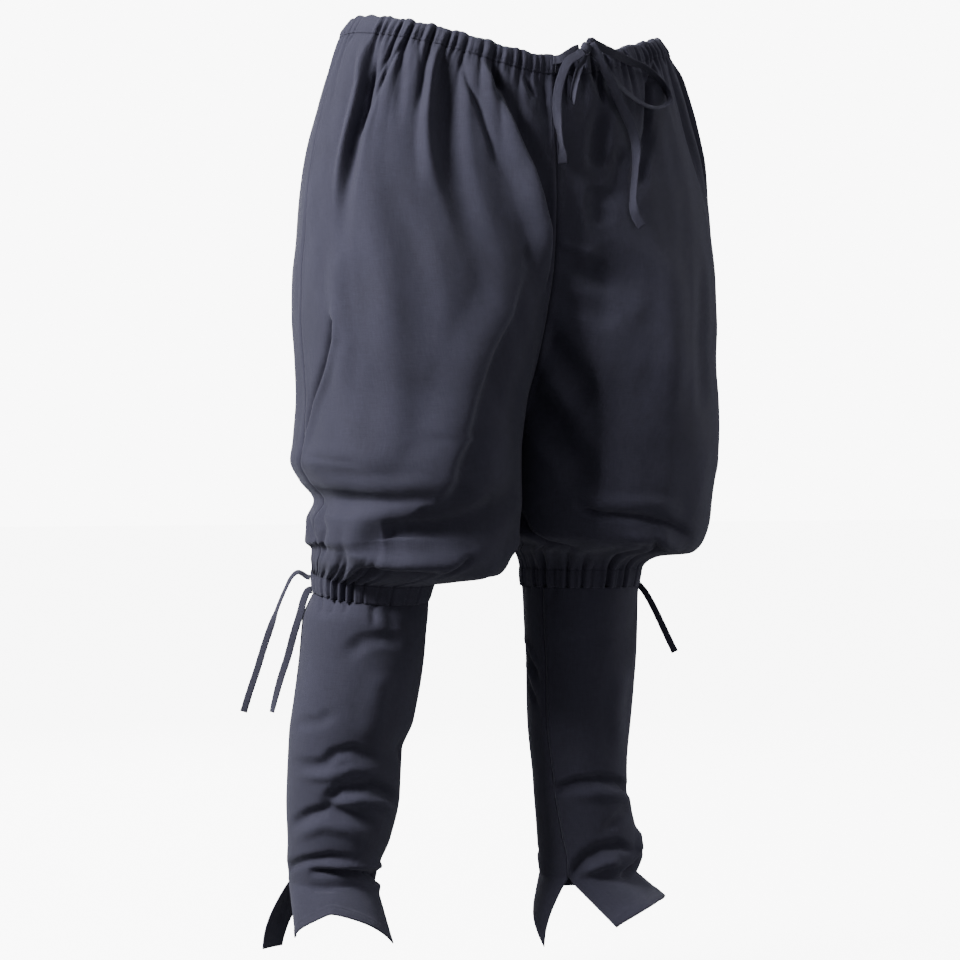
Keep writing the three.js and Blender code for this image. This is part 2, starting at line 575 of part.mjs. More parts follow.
// A flat tape along a path, square at both ends. Its section is carried along without needless turning.
function addTape(name, { path, away, twist, steps }) {
  const curve = new THREE.CatmullRomCurve3(path.map((p) => new THREE.Vector3(...p)));
  const centres = curve.getSpacedPoints(steps);
  const corners = [[1, 0.55], [0.7, 1], [-0.7, 1], [-1, 0.55], [-1, -0.55], [-0.7, -1], [0.7, -1], [1, -0.55]];
  let facing = new THREE.Vector3(...away);
  const positions = [];
  centres.forEach((centre, i) => {
    const tangent = curve.getTangentAt(i / steps);
    facing = facing.addScaledVector(tangent, -facing.dot(tangent)).normalize();
    const turned = facing.clone().applyAxisAngle(tangent, THREE.MathUtils.degToRad((twist * i) / steps));
    const sideways = new THREE.Vector3().crossVectors(tangent, turned);
    for (const [w, t] of corners) {
      const p = centre.clone().addScaledVector(sideways, (w * TAPE.width) / 2);
      p.addScaledVector(turned, (t * TAPE.thick) / 2);
      positions.push(p.x, p.y, p.z);
    }
  });
  const index = [];
  const n = corners.length;
  for (let i = 0; i < steps; i += 1) {
    for (let k = 0; k < n; k += 1) {
      const [a, b] = [i * n + k, i * n + ((k + 1) % n)];
      index.push(a, b, b + n, a, b + n, a + n);
    }
  }
  for (let k = 1; k < n - 1; k += 1) {
    index.push(0, k + 1, k);
    index.push(steps * n, steps * n + k, steps * n + k + 1);
  }
  const geometry = new THREE.BufferGeometry();
  geometry.setAttribute("position", new THREE.Float32BufferAttribute(positions, 3));
  geometry.setIndex(index);
  addPiece(name, facingOut(geometry), TAPE_LOOK);
}

function addKnot() {
  const geometry = new THREE.IcosahedronGeometry(1, 2);
  geometry.scale(...KNOT.half).translate(...KNOT.centre);
  addPiece("waist_tie_knot", geometry, TAPE_LOOK);
}

addWaistCasing();
addKnot();
for (const [name, tie] of Object.entries(TIES)) addTape(name, tie);
for (const side of ["right", "left"]) {
  addBreechesPanel(side, 1);
  addBreechesPanel(side, -1);
  addKneeCasing(side);
  addShinPanel(side, 1);
  addShinPanel(side, -1);
}

export default PIECES;
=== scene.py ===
"""Medieval trousers in a plain studio: wide breeches gathered on a drawstring waist and drawn in below each
knee, over close lower legs that open in a vent on each side of the ankle.

Tables are in millimetres, in the part's own frame, and the meshes are in metres. A place on a leg is given
by across, 0 at the outer seam, 1 at the inner or centre seam by the front and -1 there by the back, and by
down, the millimetres of cloth below the seam that the leg hangs from.
"""

import logging
import math
from abc import ABC, abstractmethod
from collections.abc import Callable
from dataclasses import dataclass, field
from enum import Enum

import bpy
import numpy as np
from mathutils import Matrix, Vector

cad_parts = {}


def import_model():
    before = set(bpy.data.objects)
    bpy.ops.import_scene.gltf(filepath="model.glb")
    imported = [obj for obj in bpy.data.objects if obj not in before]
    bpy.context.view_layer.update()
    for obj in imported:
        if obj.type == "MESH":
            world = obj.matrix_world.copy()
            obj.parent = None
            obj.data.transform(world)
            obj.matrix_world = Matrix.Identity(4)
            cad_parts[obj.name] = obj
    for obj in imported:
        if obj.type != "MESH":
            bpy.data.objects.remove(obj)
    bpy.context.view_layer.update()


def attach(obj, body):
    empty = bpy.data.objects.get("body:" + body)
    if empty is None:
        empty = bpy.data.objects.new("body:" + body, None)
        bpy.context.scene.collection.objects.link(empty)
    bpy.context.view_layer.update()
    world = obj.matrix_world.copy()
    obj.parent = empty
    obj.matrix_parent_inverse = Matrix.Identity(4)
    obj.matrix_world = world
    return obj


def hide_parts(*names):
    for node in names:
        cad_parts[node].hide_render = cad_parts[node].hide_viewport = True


LOG = logging.getLogger("trousers")
Surface = Callable[[np.ndarray, np.ndarray], np.ndarray]
# The outer side of a cloth: its points, its outward directions and its relief
Laid = tuple[np.ndarray, np.ndarray, np.ndarray]
MM = 0.001
BODY = "root"

# The cloth's thickness, the casings' walls and widths, and the widths that distances across are counted on
CLOTH = 1.6
CASING_WALL = 2.4
CASING_PROUD = 0.7
WAIST_CASING = 26.0
KNEE_CASING = 21.0
PANEL_WIDTH = 330.0
SHIN_WIDTH = 180.0
# The gap at a seam, how far cloth runs on behind a casing, and how far down it still turns from level
SEAM_GAP = 0.3
TUCK = 1.5
WAIST_LEVEL = 60.0
# The waist seam's dip at the middle of the front and of the back, its sharpness, and where it has faded
DIP_FRONT = 46.0
DIP_BACK = 24.0
DIP_POWER = 1.6
DIP_FADE = 300.0
# The front slit: its length and half width in the breeches, and its half width in the casing
SLIT_LENGTH = 112.0
SLIT_HALF = 2.6
CASING_SLIT_HALF = 0.9
# How far down the cloth a flap's whole length counts as, and how fast its corners' values fade
FLAP_SPAN = 60.0
CORNER_POWER = 1.5
# The steps either side of a place that give the cloth's direction there
STEP_ACROSS = 0.004
STEP_DOWN = 1.5
# A lap drops this far below the cloth within this share of its half width
LAP_DIP = 0.5
LAP_EDGE = 0.32
# Where beside its path's ends a fold has faded, and the least half width of a pucker
FOLD_START = -0.1
PUCKER_HALF = 2.6
# Hems: the slope beside a turned edge and the half width of the groove that stitches make
HEM_SLOPE = 1.2
STITCH_GROOVE = 0.9
# Where the ties' flat sides face before they turn
TAPE_FRONT = (-0.4384, -0.8988, 0.0)


class Side(Enum):
    """A side of the wearer."""

    RIGHT = "right"
    LEFT = "left"

    @property
    def sign(self) -> int:
        """The sign of X on this side."""
        return -1 if self is Side.RIGHT else 1


class Face(Enum):
    """The front or the back half of a leg."""

    FRONT = "front"
    BACK = "back"

    @property
    def sign(self) -> int:
        """The sign of across on this half."""
        return 1 if self is Face.FRONT else -1


class Profile(Enum):
    """The section of a fold."""

    ROUND = "round"
    CREASE = "crease"
    LAP = "lap"


class Slot(Enum):
    """The names of the material slots."""

    CLOTH = "cloth"
    TAPE = "tape"


# Rings and the smooth surfaces through them


@dataclass(frozen=True)
class LegRing:
    """A ring of a breeches leg: its height, the reach of the outer seam, the leg's own centre and depths."""

    z: float
    out: float
    centre: float
    shift: float
    front: float
    back: float
    lean_out: float = 0.0
    lean_back: float = 0.0


@dataclass(frozen=True)
class ShinRing:
    """A ring of a lower leg: its height, centre, half sizes and how far it is turned out, in degrees."""

    z: float
    x: float
    y: float
    wide: float
    deep: float
    turn: float
    lean_out: float = 0.0
    lean_back: float = 0.0


@dataclass(frozen=True)
class FlapCorner:
    """A corner of an ankle flap: how long it hangs, and how far it swings out and spreads sideways.

    Square is the share of the flap's width, beside the corner, that hangs as long as the corner does. Power
    says how fast the lower edge rises from there.
    """

    long: float
    swing: float
    spread: float = 0.0
    square: float = 0.0
    power: float = CORNER_POWER


@dataclass(frozen=True)
class Fold:
    """A fold along a path of (across, down) places: its height, negative in a valley, and its half width.

    Start and end are the shares of the path over which it rises and dies away.
    """

    height: float
    width: float
    path: tuple[tuple[float, float], ...]
    profile: Profile = Profile.ROUND
    start: float = 0.25
    end: float = 0.3

    def fade(self, along: np.ndarray) -> np.ndarray:
        """How much of the fold shows at shares of its path."""
        return smooth(FOLD_START, self.start, along) * smooth(FOLD_START, self.end, 1 - along)

    def section(self, away: np.ndarray, beside: np.ndarray) -> np.ndarray:
        """The fold's section.

        Args:
            away: Distances from its path, as shares of its half width.
            beside: The side of the path, which is 0 or less where a lap rises slowly.

        Returns:
            A share of the fold's height for each place.
        """
        if self.profile is Profile.CREASE:
            return (1 - away) ** 2
        rise = 0.5 * (1 + np.cos(math.pi * away))
        if self.profile is Profile.ROUND:
            return rise
        drop = 1 - (1 + LAP_DIP) * smooth(0, LAP_EDGE, away)
        back = -LAP_DIP * (1 - smooth(LAP_EDGE, 1.0, away))
        return np.where(beside <= 0, rise, np.where(away < LAP_EDGE, drop, back))


WAIST_RINGS = (
    LegRing(0, 182, 0, 3, 116, 119),
    LegRing(-22, 196, 0, -1, 113, 124),
    LegRing(-39, 205, 4, -2, 113, 130),
    LegRing(-66, 215, 10, -3, 113, 138),
    LegRing(-104, 226, 20, -4, 113, 146),
    LegRing(-149, 237, 36, -5, 114, 153),
    LegRing(-194, 244, 56, -6, 117, 156),
    LegRing(-239, 247, 76, -6, 122, 155),
    LegRing(-283, 250, 92, -3, 131, 150),
    LegRing(-327, 250, 105, -1, 136, 144),
    LegRing(-372, 247, 113, 0, 138, 138),
)
LEG_RINGS = {
    Side.RIGHT: WAIST_RINGS
    + (
        LegRing(-418, 244, 118.6, 0, 134, 134),
        LegRing(-462, 248, 124, 0, 132, 132),
        LegRing(-484, 252, 126, 0, 130, 130),
        LegRing(-506, 241, 120.5, 0, 129, 128),
        LegRing(-528, 224, 112, 0, 126, 125),
        LegRing(-550, 235, 118.5, 0, 124, 122),
        LegRing(-572, 235, 119, 1, 119, 117),
        LegRing(-586, 227, 118.5, 4, 112, 107, 0.04, 0.02),
        LegRing(-600, 226, 122, 10, 104, 98, 0.07, 0.06),
        LegRing(-608, 220, 135, 24, 84, 82, 0.05, 0.1),
        LegRing(-613, 214, 145.5, 41, 69, 69, 0.034, 0.13),
        LegRing(-634, 210.5, 147, 45, 64, 64, 0.034, 0.13),
    ),
    Side.LEFT: WAIST_RINGS
    + (
        LegRing(-415, 250, 121.6, 0, 134, 134),
        LegRing(-460, 252, 126, 0, 132, 132),
        LegRing(-483, 252, 126, 0, 130, 130),
        LegRing(-506, 248, 124, 0, 129, 129),
        LegRing(-529, 245, 122.5, 0, 126, 125),
        LegRing(-552, 243, 123, 0, 121, 119),
        LegRing(-572, 236, 120.5, 2, 115, 113, -0.04),
        LegRing(-582, 224, 121, 4, 104, 102, -0.07),
        LegRing(-590, 196, 113, 26, 82, 82, -0.04),
        LegRing(-606, 183, 113, 37, 70, 70),
        LegRing(-627, 180, 113.5, 41, 67, 67),
    ),
}
SHIN_RINGS = {
    Side.RIGHT: (
        ShinRing(-634, 147, 45, 63.5, 63.5, 24, 0.034, 0.13),
        ShinRing(-660, 154, 46, 69, 69, 24, 0.01, 0.04),
        ShinRing(-706, 158, 47, 69, 68, 24),
        ShinRing(-772, 166, 55, 68, 67, 24),
        ShinRing(-805, 172, 60, 63, 63, 24),
        ShinRing(-855, 172, 66, 63, 62, 24),
        ShinRing(-904, 175, 70, 57, 58, 24),
        ShinRing(-938, 181, 74, 50, 52, 24),
        ShinRing(-952, 181, 76, 48, 51, 24),
    ),
    Side.LEFT: (
        ShinRing(-627, 113.5, 41, 67, 67, 22),
        ShinRing(-672, 115, 43, 66, 65, 22),
        ShinRing(-714, 117, 46, 64, 63, 23),
        ShinRing(-783, 118, 53, 60, 60, 24),
        ShinRing(-852, 122, 58, 54, 55, 28),
        ShinRing(-912, 135, 66, 59, 58, 33),
        ShinRing(-940, 142, 70, 62, 62, 36),
        ShinRing(-962, 140, 72, 58, 57, 38),
    ),
}
# The corners of each ankle flap: by the outer vent, in the middle and by the inner vent
FLAPS = {
    (Side.RIGHT, Face.FRONT): (
        FlapCorner(56, 34, -9, 0.07, 1.2), FlapCorner(25, 30), FlapCorner(64, 38, 20),
    ),
    (Side.RIGHT, Face.BACK): (
        FlapCorner(80, 22, 30, 0.17, 4.0), FlapCorner(26, 10), FlapCorner(30, 8, 2),
    ),
    (Side.LEFT, Face.FRONT): (FlapCorner(26, 40, 4), FlapCorner(27, 34), FlapCorner(52, 62, 2)),
    (Side.LEFT, Face.BACK): (FlapCorner(26, 4), FlapCorner(24, 0), FlapCorner(78, 22, 16)),
}


def smooth(low: float, high: float, x: np.ndarray) -> np.ndarray:
    """A smooth step.

    Args:
        low: Where it leaves 0.
        high: Where it reaches 1.
        x: The values.

    Returns:
        0 below low, 1 above high and a smooth rise between them.
    """
    t = np.clip((np.asarray(x, float) - low) / (high - low), 0.0, 1.0)
    return t * t * (3.0 - 2.0 * t)


def ridge(distance: np.ndarray, half: float) -> np.ndarray:
    """A soft ridge along a line, 1 on it, that dies away at about twice its half width."""
    return np.exp(-((distance / half) ** 2))


class Track:
    """A smooth curve through values at given stations that never swings past them."""

    def __init__(self, stations: np.ndarray, values: np.ndarray) -> None:
        """Works out the slopes.

        Args:
            stations: Rising stations.
            values: A value for each.
        """
        self.stations, self.values = stations, values
        steps = np.diff(values) / np.diff(stations)
        slopes = np.concatenate([steps[:1], np.zeros(len(values) - 2), steps[-1:]])
        before, after = steps[:-1], steps[1:]
        same = before * after > 0
        slopes[1:-1][same] = 2 * before[same] * after[same] / (before[same] + after[same])
        self.slopes = slopes

    def at(self, s: np.ndarray) -> np.ndarray:
        """The curve's values.

        Args:
            s: Places along the stations.

        Returns:
            A value for each place, on a straight line beyond either end.
        """
        x, v, m = self.stations, self.values, self.slopes
        i = np.clip(np.searchsorted(x, s, side="left") - 1, 0, len(x) - 2)
        h = x[i + 1] - x[i]
        t = (s - x[i]) / h
        a, b = (1 + 2 * t) * (1 - t) ** 2, t * (1 - t) ** 2
        c, d = t * t * (3 - 2 * t), t * t * (t - 1)
        inside = a * v[i] + b * h * m[i] + c * v[i + 1] + d * h * m[i + 1]
        inside = np.where(t < 0, v[i] + m[i] * (s - x[i]), inside)
        return np.where(t > 1, v[i + 1] + m[i + 1] * (s - x[i + 1]), inside)


class RingTracks:
    """Tracks through every column of a table of rings, by the cloth's distance below one of them."""

    def __init__(self, rings: tuple, reach: str, zero_row: int) -> None:
        """Makes the tracks.

        Args:
            rings: The table's rows.
            reach: The column that is measured with z for the distance down the cloth.
            zero_row: The row that the distance is counted from.
        """
        z = np.array([r.z for r in rings], float)
        wide = np.array([getattr(r, reach) for r in rings], float)
        down = np.concatenate([[0.0], np.cumsum(np.hypot(np.diff(z), np.diff(wide)))])
        down -= down[zero_row]
        self.last = float(down[-1])
        columns = rings[0].__dataclass_fields__
        self.tracks = {c: Track(down, np.array([getattr(r, c) for r in rings], float)) for c in columns}

    def ring(self, down: np.ndarray) -> dict[str, np.ndarray]:
        """Every column's value at a distance down the cloth."""
        return {c: track.at(down) for c, track in self.tracks.items()}


class LegForm:
    """The smooth form of one breeches leg."""

    def __init__(self, side: Side) -> None:
        """Makes the leg's tracks from its rings.

        Args:
            side: The wearer's side.
        """
        self.side = side
        self.rings = RingTracks(LEG_RINGS[side], "out", 1)
        self.last = self.rings.last
        self.knee_seam = self.last - KNEE_CASING
        rows = np.linspace(0, self.last, 1200)
        r = self.rings.ring(rows)
        self.crotch = float(rows[np.argmax(2 * r["centre"] >= r["out"])])

    def point(self, across: np.ndarray, down: np.ndarray) -> np.ndarray:
        """Places on the leg.

        Args:
            across: From the outer seam to the inner one.
            down: Millimetres below the waist seam.

        Returns:
            The points, in millimetres, with X, Y and Z last.
        """
        r = self.rings.ring(down)
        half = r["out"] - r["centre"]
        end = np.where(down < self.crotch, np.arccos(np.clip(-r["centre"] / half, -1, 1)), math.pi)
        angle = across * end
        depth = np.where(angle > 0, r["front"], r["back"])
        x = r["centre"] + half * np.cos(angle)
        y = r["shift"] - depth * np.sin(angle)
        facing = (y - r["shift"]) / np.hypot(x, y - r["shift"])
        dip = np.where(facing < 0, DIP_FRONT, DIP_BACK) * np.abs(facing) ** DIP_POWER
        lean = r["lean_out"] * (x - r["centre"]) + r["lean_back"] * (y - r["shift"])
        z = r["z"] - dip * (1 - smooth(0, DIP_FADE, down)) + lean
        return np.stack([self.side.sign * x, y, z], -1)


def corner_weights(
    across: np.ndarray, square: float = 0.0, power: float = CORNER_POWER
) -> tuple[np.ndarray, np.ndarray]:
    """How much the corners of a flap count.

    Args:
        across: Places across it.
        square: The share of its width that the outer corner's value holds for.
        power: How fast that value then fades.

    Returns:
        The weights of the outer and of the inner corner.
    """
    outwards = 1 - 2 * np.abs(across)
    to_outer = np.clip(outwards / (1 - 2 * square), 0, 1) ** power
    return to_outer, np.maximum(0, -outwards) ** CORNER_POWER


class ShinForm:
    """The smooth form of one lower leg, with the flaps below its vents."""

    def __init__(self, side: Side) -> None:
        """Makes the leg's tracks from its rings.

        Args:
            side: The wearer's side.
        """
        self.side = side
        self.rings = RingTracks(SHIN_RINGS[side], "wide", 0)
        self.last = self.rings.last

    def tube(self, across: np.ndarray, down: np.ndarray) -> np.ndarray:
        """Places on the tube, as on a breeches leg.

        Args:
            across: From the outer seam to the inner one.
            down: Millimetres below the knee casing.

        Returns:
            The points, in millimetres.
        """
        r = self.rings.ring(down)
        angle = across * math.pi
        out, forward = r["wide"] * np.cos(angle), r["deep"] * np.sin(angle)
        turn = np.radians(r["turn"])
        x = out * np.cos(turn) + forward * np.sin(turn)
        y = out * np.sin(turn) - forward * np.cos(turn)
        z = r["z"] + r["lean_out"] * x + r["lean_back"] * y
        return np.stack([self.side.sign * (r["x"] + x), r["y"] + y, z], -1)

    def flap_length(self, face: Face, across: np.ndarray) -> np.ndarray:
        """How long the flap hangs at each place across."""
        return self.mix_corners(face, across, "long")

    def mix_corners(self, face: Face, across: np.ndarray, key: str) -> np.ndarray:
        """A flap's value between its three corners.

        Args:
            face: The front or back flap.
            across: Places across it.
            key: The name of the value.

        Returns:
            The value at each place.
        """
        corners = FLAPS[(self.side, face)]
        outer, middle, inner = (getattr(corner, key) for corner in corners)
        to_outer, to_inner = corner_weights(across, corners[0].square, corners[0].power)
        return middle + (outer - middle) * to_outer + (inner - middle) * to_inner

    def point(self, face: Face, across: np.ndarray, down: np.ndarray) -> np.ndarray:
        """Places on the tube and, further down than its last ring, on the flap.

        Args:
            face: The front or back half.
            across: Places across it.
            down: Millimetres below the knee casing, where a flap's own length counts as FLAP_SPAN.

        Returns:
            The points, in millimetres.
        """
        share = np.clip((down - self.last) / FLAP_SPAN, 0.0, None)
        points = self.tube(across, np.minimum(down, self.last))
        turn = math.radians(SHIN_RINGS[self.side][-1].turn)
        outer, _, inner = FLAPS[(self.side, face)]
        to_outer, to_inner = corner_weights(across)
        flare = share if face is Face.FRONT else np.sin(np.minimum(share, 1.0) * math.pi / 2)
        swing = self.mix_corners(face, across, "swing") * flare * face.sign
        spread = (outer.spread * to_outer - inner.spread * to_inner) * flare
        points[..., 0] += self.side.sign * (math.sin(turn) * swing + math.cos(turn) * spread)
        points[..., 1] += -math.cos(turn) * swing + math.sin(turn) * spread
        points[..., 2] -= self.flap_length(face, across) * share
        return points


def outward(
    surface: Surface, across: np.ndarray, down: np.ndarray, sign: int, level: float = 0.0
) -> np.ndarray:
    """The outward directions of a surface.

    Args:
        surface: Gives points for places across and down.
        across: Places across.
        down: Places down.
        sign: The side's sign.
        level: How far below the waist seam the directions still turn from level to the surface's own.

    Returns:
        A unit direction for each place.
    """
    along = surface(across + STEP_ACROSS, down) - surface(across - STEP_ACROSS, down)
    fall = surface(across, down + STEP_DOWN) - surface(across, down - STEP_DOWN)
    normal = np.cross(along, fall) * sign
    if level > 0:
        normal[..., 2] *= smooth(0, level, down)
    return normal / np.linalg.norm(normal, axis=-1, keepdims=True)


# Folds, gathers and the cloth's own unevenness


def fold_relief(folds: tuple[Fold, ...], width: float, across: np.ndarray, down: np.ndarray) -> np.ndarray:
    """The height that folds give the cloth.

    Args:
        folds: The folds.
        width: The panel's width in millimetres, for distances across it.
        across: Places across.
        down: Places down.

    Returns:
        A height for each place, in millimetres.
    """
    total = np.zeros(np.broadcast(across, down).shape)
    px, py = across * width, down + 0.0 * across
    for fold in folds:
        places = np.array(fold.path, float) * (width, 1.0)
        nearest = np.full(total.shape, np.inf)
        along, beside = np.zeros(total.shape), np.zeros(total.shape)
        links = len(places) - 1
        for i in range(links):
            (ax, ay), (dx, dy) = places[i], places[i + 1] - places[i]
            long = math.hypot(dx, dy)
            t = np.clip(((px - ax) * dx + (py - ay) * dy) / long**2, 0.0, 1.0)
            distance = np.hypot(px - ax - t * dx, py - ay - t * dy)
            closer = distance < nearest
            nearest = np.where(closer, distance, nearest)
            along = np.where(closer, (i + t) / links, along)
            beside = np.where(closer, ((px - ax) * dy - (py - ay) * dx) / long, beside)
        away = np.clip(nearest / fold.width, 0.0, 1.0)
        total += fold.height * fold.fade(along) * fold.section(away, beside)
    return total


@dataclass(frozen=True)
class Gathers:
    """Small uneven puckers that run from a gathered seam into the cloth.

    A pucker is a narrow valley with a puff of cloth on either side of it.
    """

    seed: int
    low: float = 0.02
    high: float = 0.98
    spacing: tuple[float, float] = (7.0, 15.0)
    depth: tuple[float, float] = (1.0, 3.4)
    reach: tuple[float, float] = (9.0, 46.0)
    panel: float = PANEL_WIDTH
    bare: tuple[tuple[float, float], ...] = ()
    placed: tuple[tuple[float, float, float], ...] = ()

    def rows(self) -> np.ndarray:
        """The puckers, as listed or placed by the seed.

        Returns:
            Rows of place, depth, half width, reach and drift, in millimetres.
        """
        rng = np.random.default_rng(self.seed)
        if self.placed:
            drifts = rng.normal(0.0, 0.1, len(self.placed))
            return np.array([
                (place * self.panel, depth, PUCKER_HALF + 0.5 * depth, reach, drift * reach)
                for (place, depth, reach), drift in zip(self.placed, drifts)
            ])
        (shallow, deep), (short, long) = self.depth, self.reach
        rows, place = [], self.low * self.panel
        while place < self.high * self.panel:
            strength = rng.random() ** 1.4
            depth = shallow + (deep - shallow) * strength
            reach = short + (long - short) * rng.random() ** 1.6 * (0.35 + 0.65 * strength)
            drift = rng.normal(0.0, 0.12) * reach
            half = PUCKER_HALF + 1.6 * rng.random() + 0.6 * strength
            if not any(a * self.panel < place < b * self.panel for a, b in self.bare):
                rows.append((place, depth, half, reach, drift))
            place += rng.uniform(*self.spacing)
        return np.array(rows)

    def relief(self, across: np.ndarray, distance: np.ndarray) -> np.ndarray:
        """The puckers' height.

        Args:
            across: Places across, 0 to 1 whichever the half.
            distance: Millimetres from the seam, which may be negative on the casing.

        Returns:
            A height for each place, in millimetres.
        """
        total = np.zeros(np.broadcast(across, distance).shape)
        run = np.maximum(distance, 0.0)
        for place, depth, half, reach, drift in self.rows():
            widen = half * (1 + 1.3 * run / (run + reach))
            n = np.abs(across * self.panel - place - drift * np.minimum(run / reach, 1.6)) / widen
            fade = np.exp(-((run / reach) ** 1.3))
            valley = -np.maximum(0, 1 - n) ** 1.6
            puff = 0.35 * np.exp(-((n - 1.5) ** 2) / 0.5)
            total += depth * fade * (valley + puff)
        return total


@dataclass(frozen=True)
class Unevenness:
    """Low swells over the cloth, longer down it than across, with no repeat."""

    seed: int
    size: float = 0.5
    waves: int = 26
    across_wave: tuple[float, float] = (26.0, 120.0)
    down_wave: tuple[float, float] = (70.0, 420.0)

    def relief(self, across_mm: np.ndarray, down: np.ndarray) -> np.ndarray:
        """The swells' height.

        Args:
            across_mm: Places across, in millimetres.
            down: Places down.

        Returns:
            A height for each place, in millimetres.
        """
        rng = np.random.default_rng(self.seed)
        total = np.zeros(np.broadcast(across_mm, down).shape)
        for _ in range(self.waves):
            a, d = rng.uniform(*self.across_wave), rng.uniform(*self.down_wave)
            lean, phase = rng.normal(0.0, 0.7), rng.uniform(0, 2 * math.pi)
            wave = np.sin(2 * math.pi * (across_mm / a + lean * down / d) + phase)
            total += wave * (a / self.across_wave[1]) ** 0.7
        return self.size * total / math.sqrt(self.waves / 2)


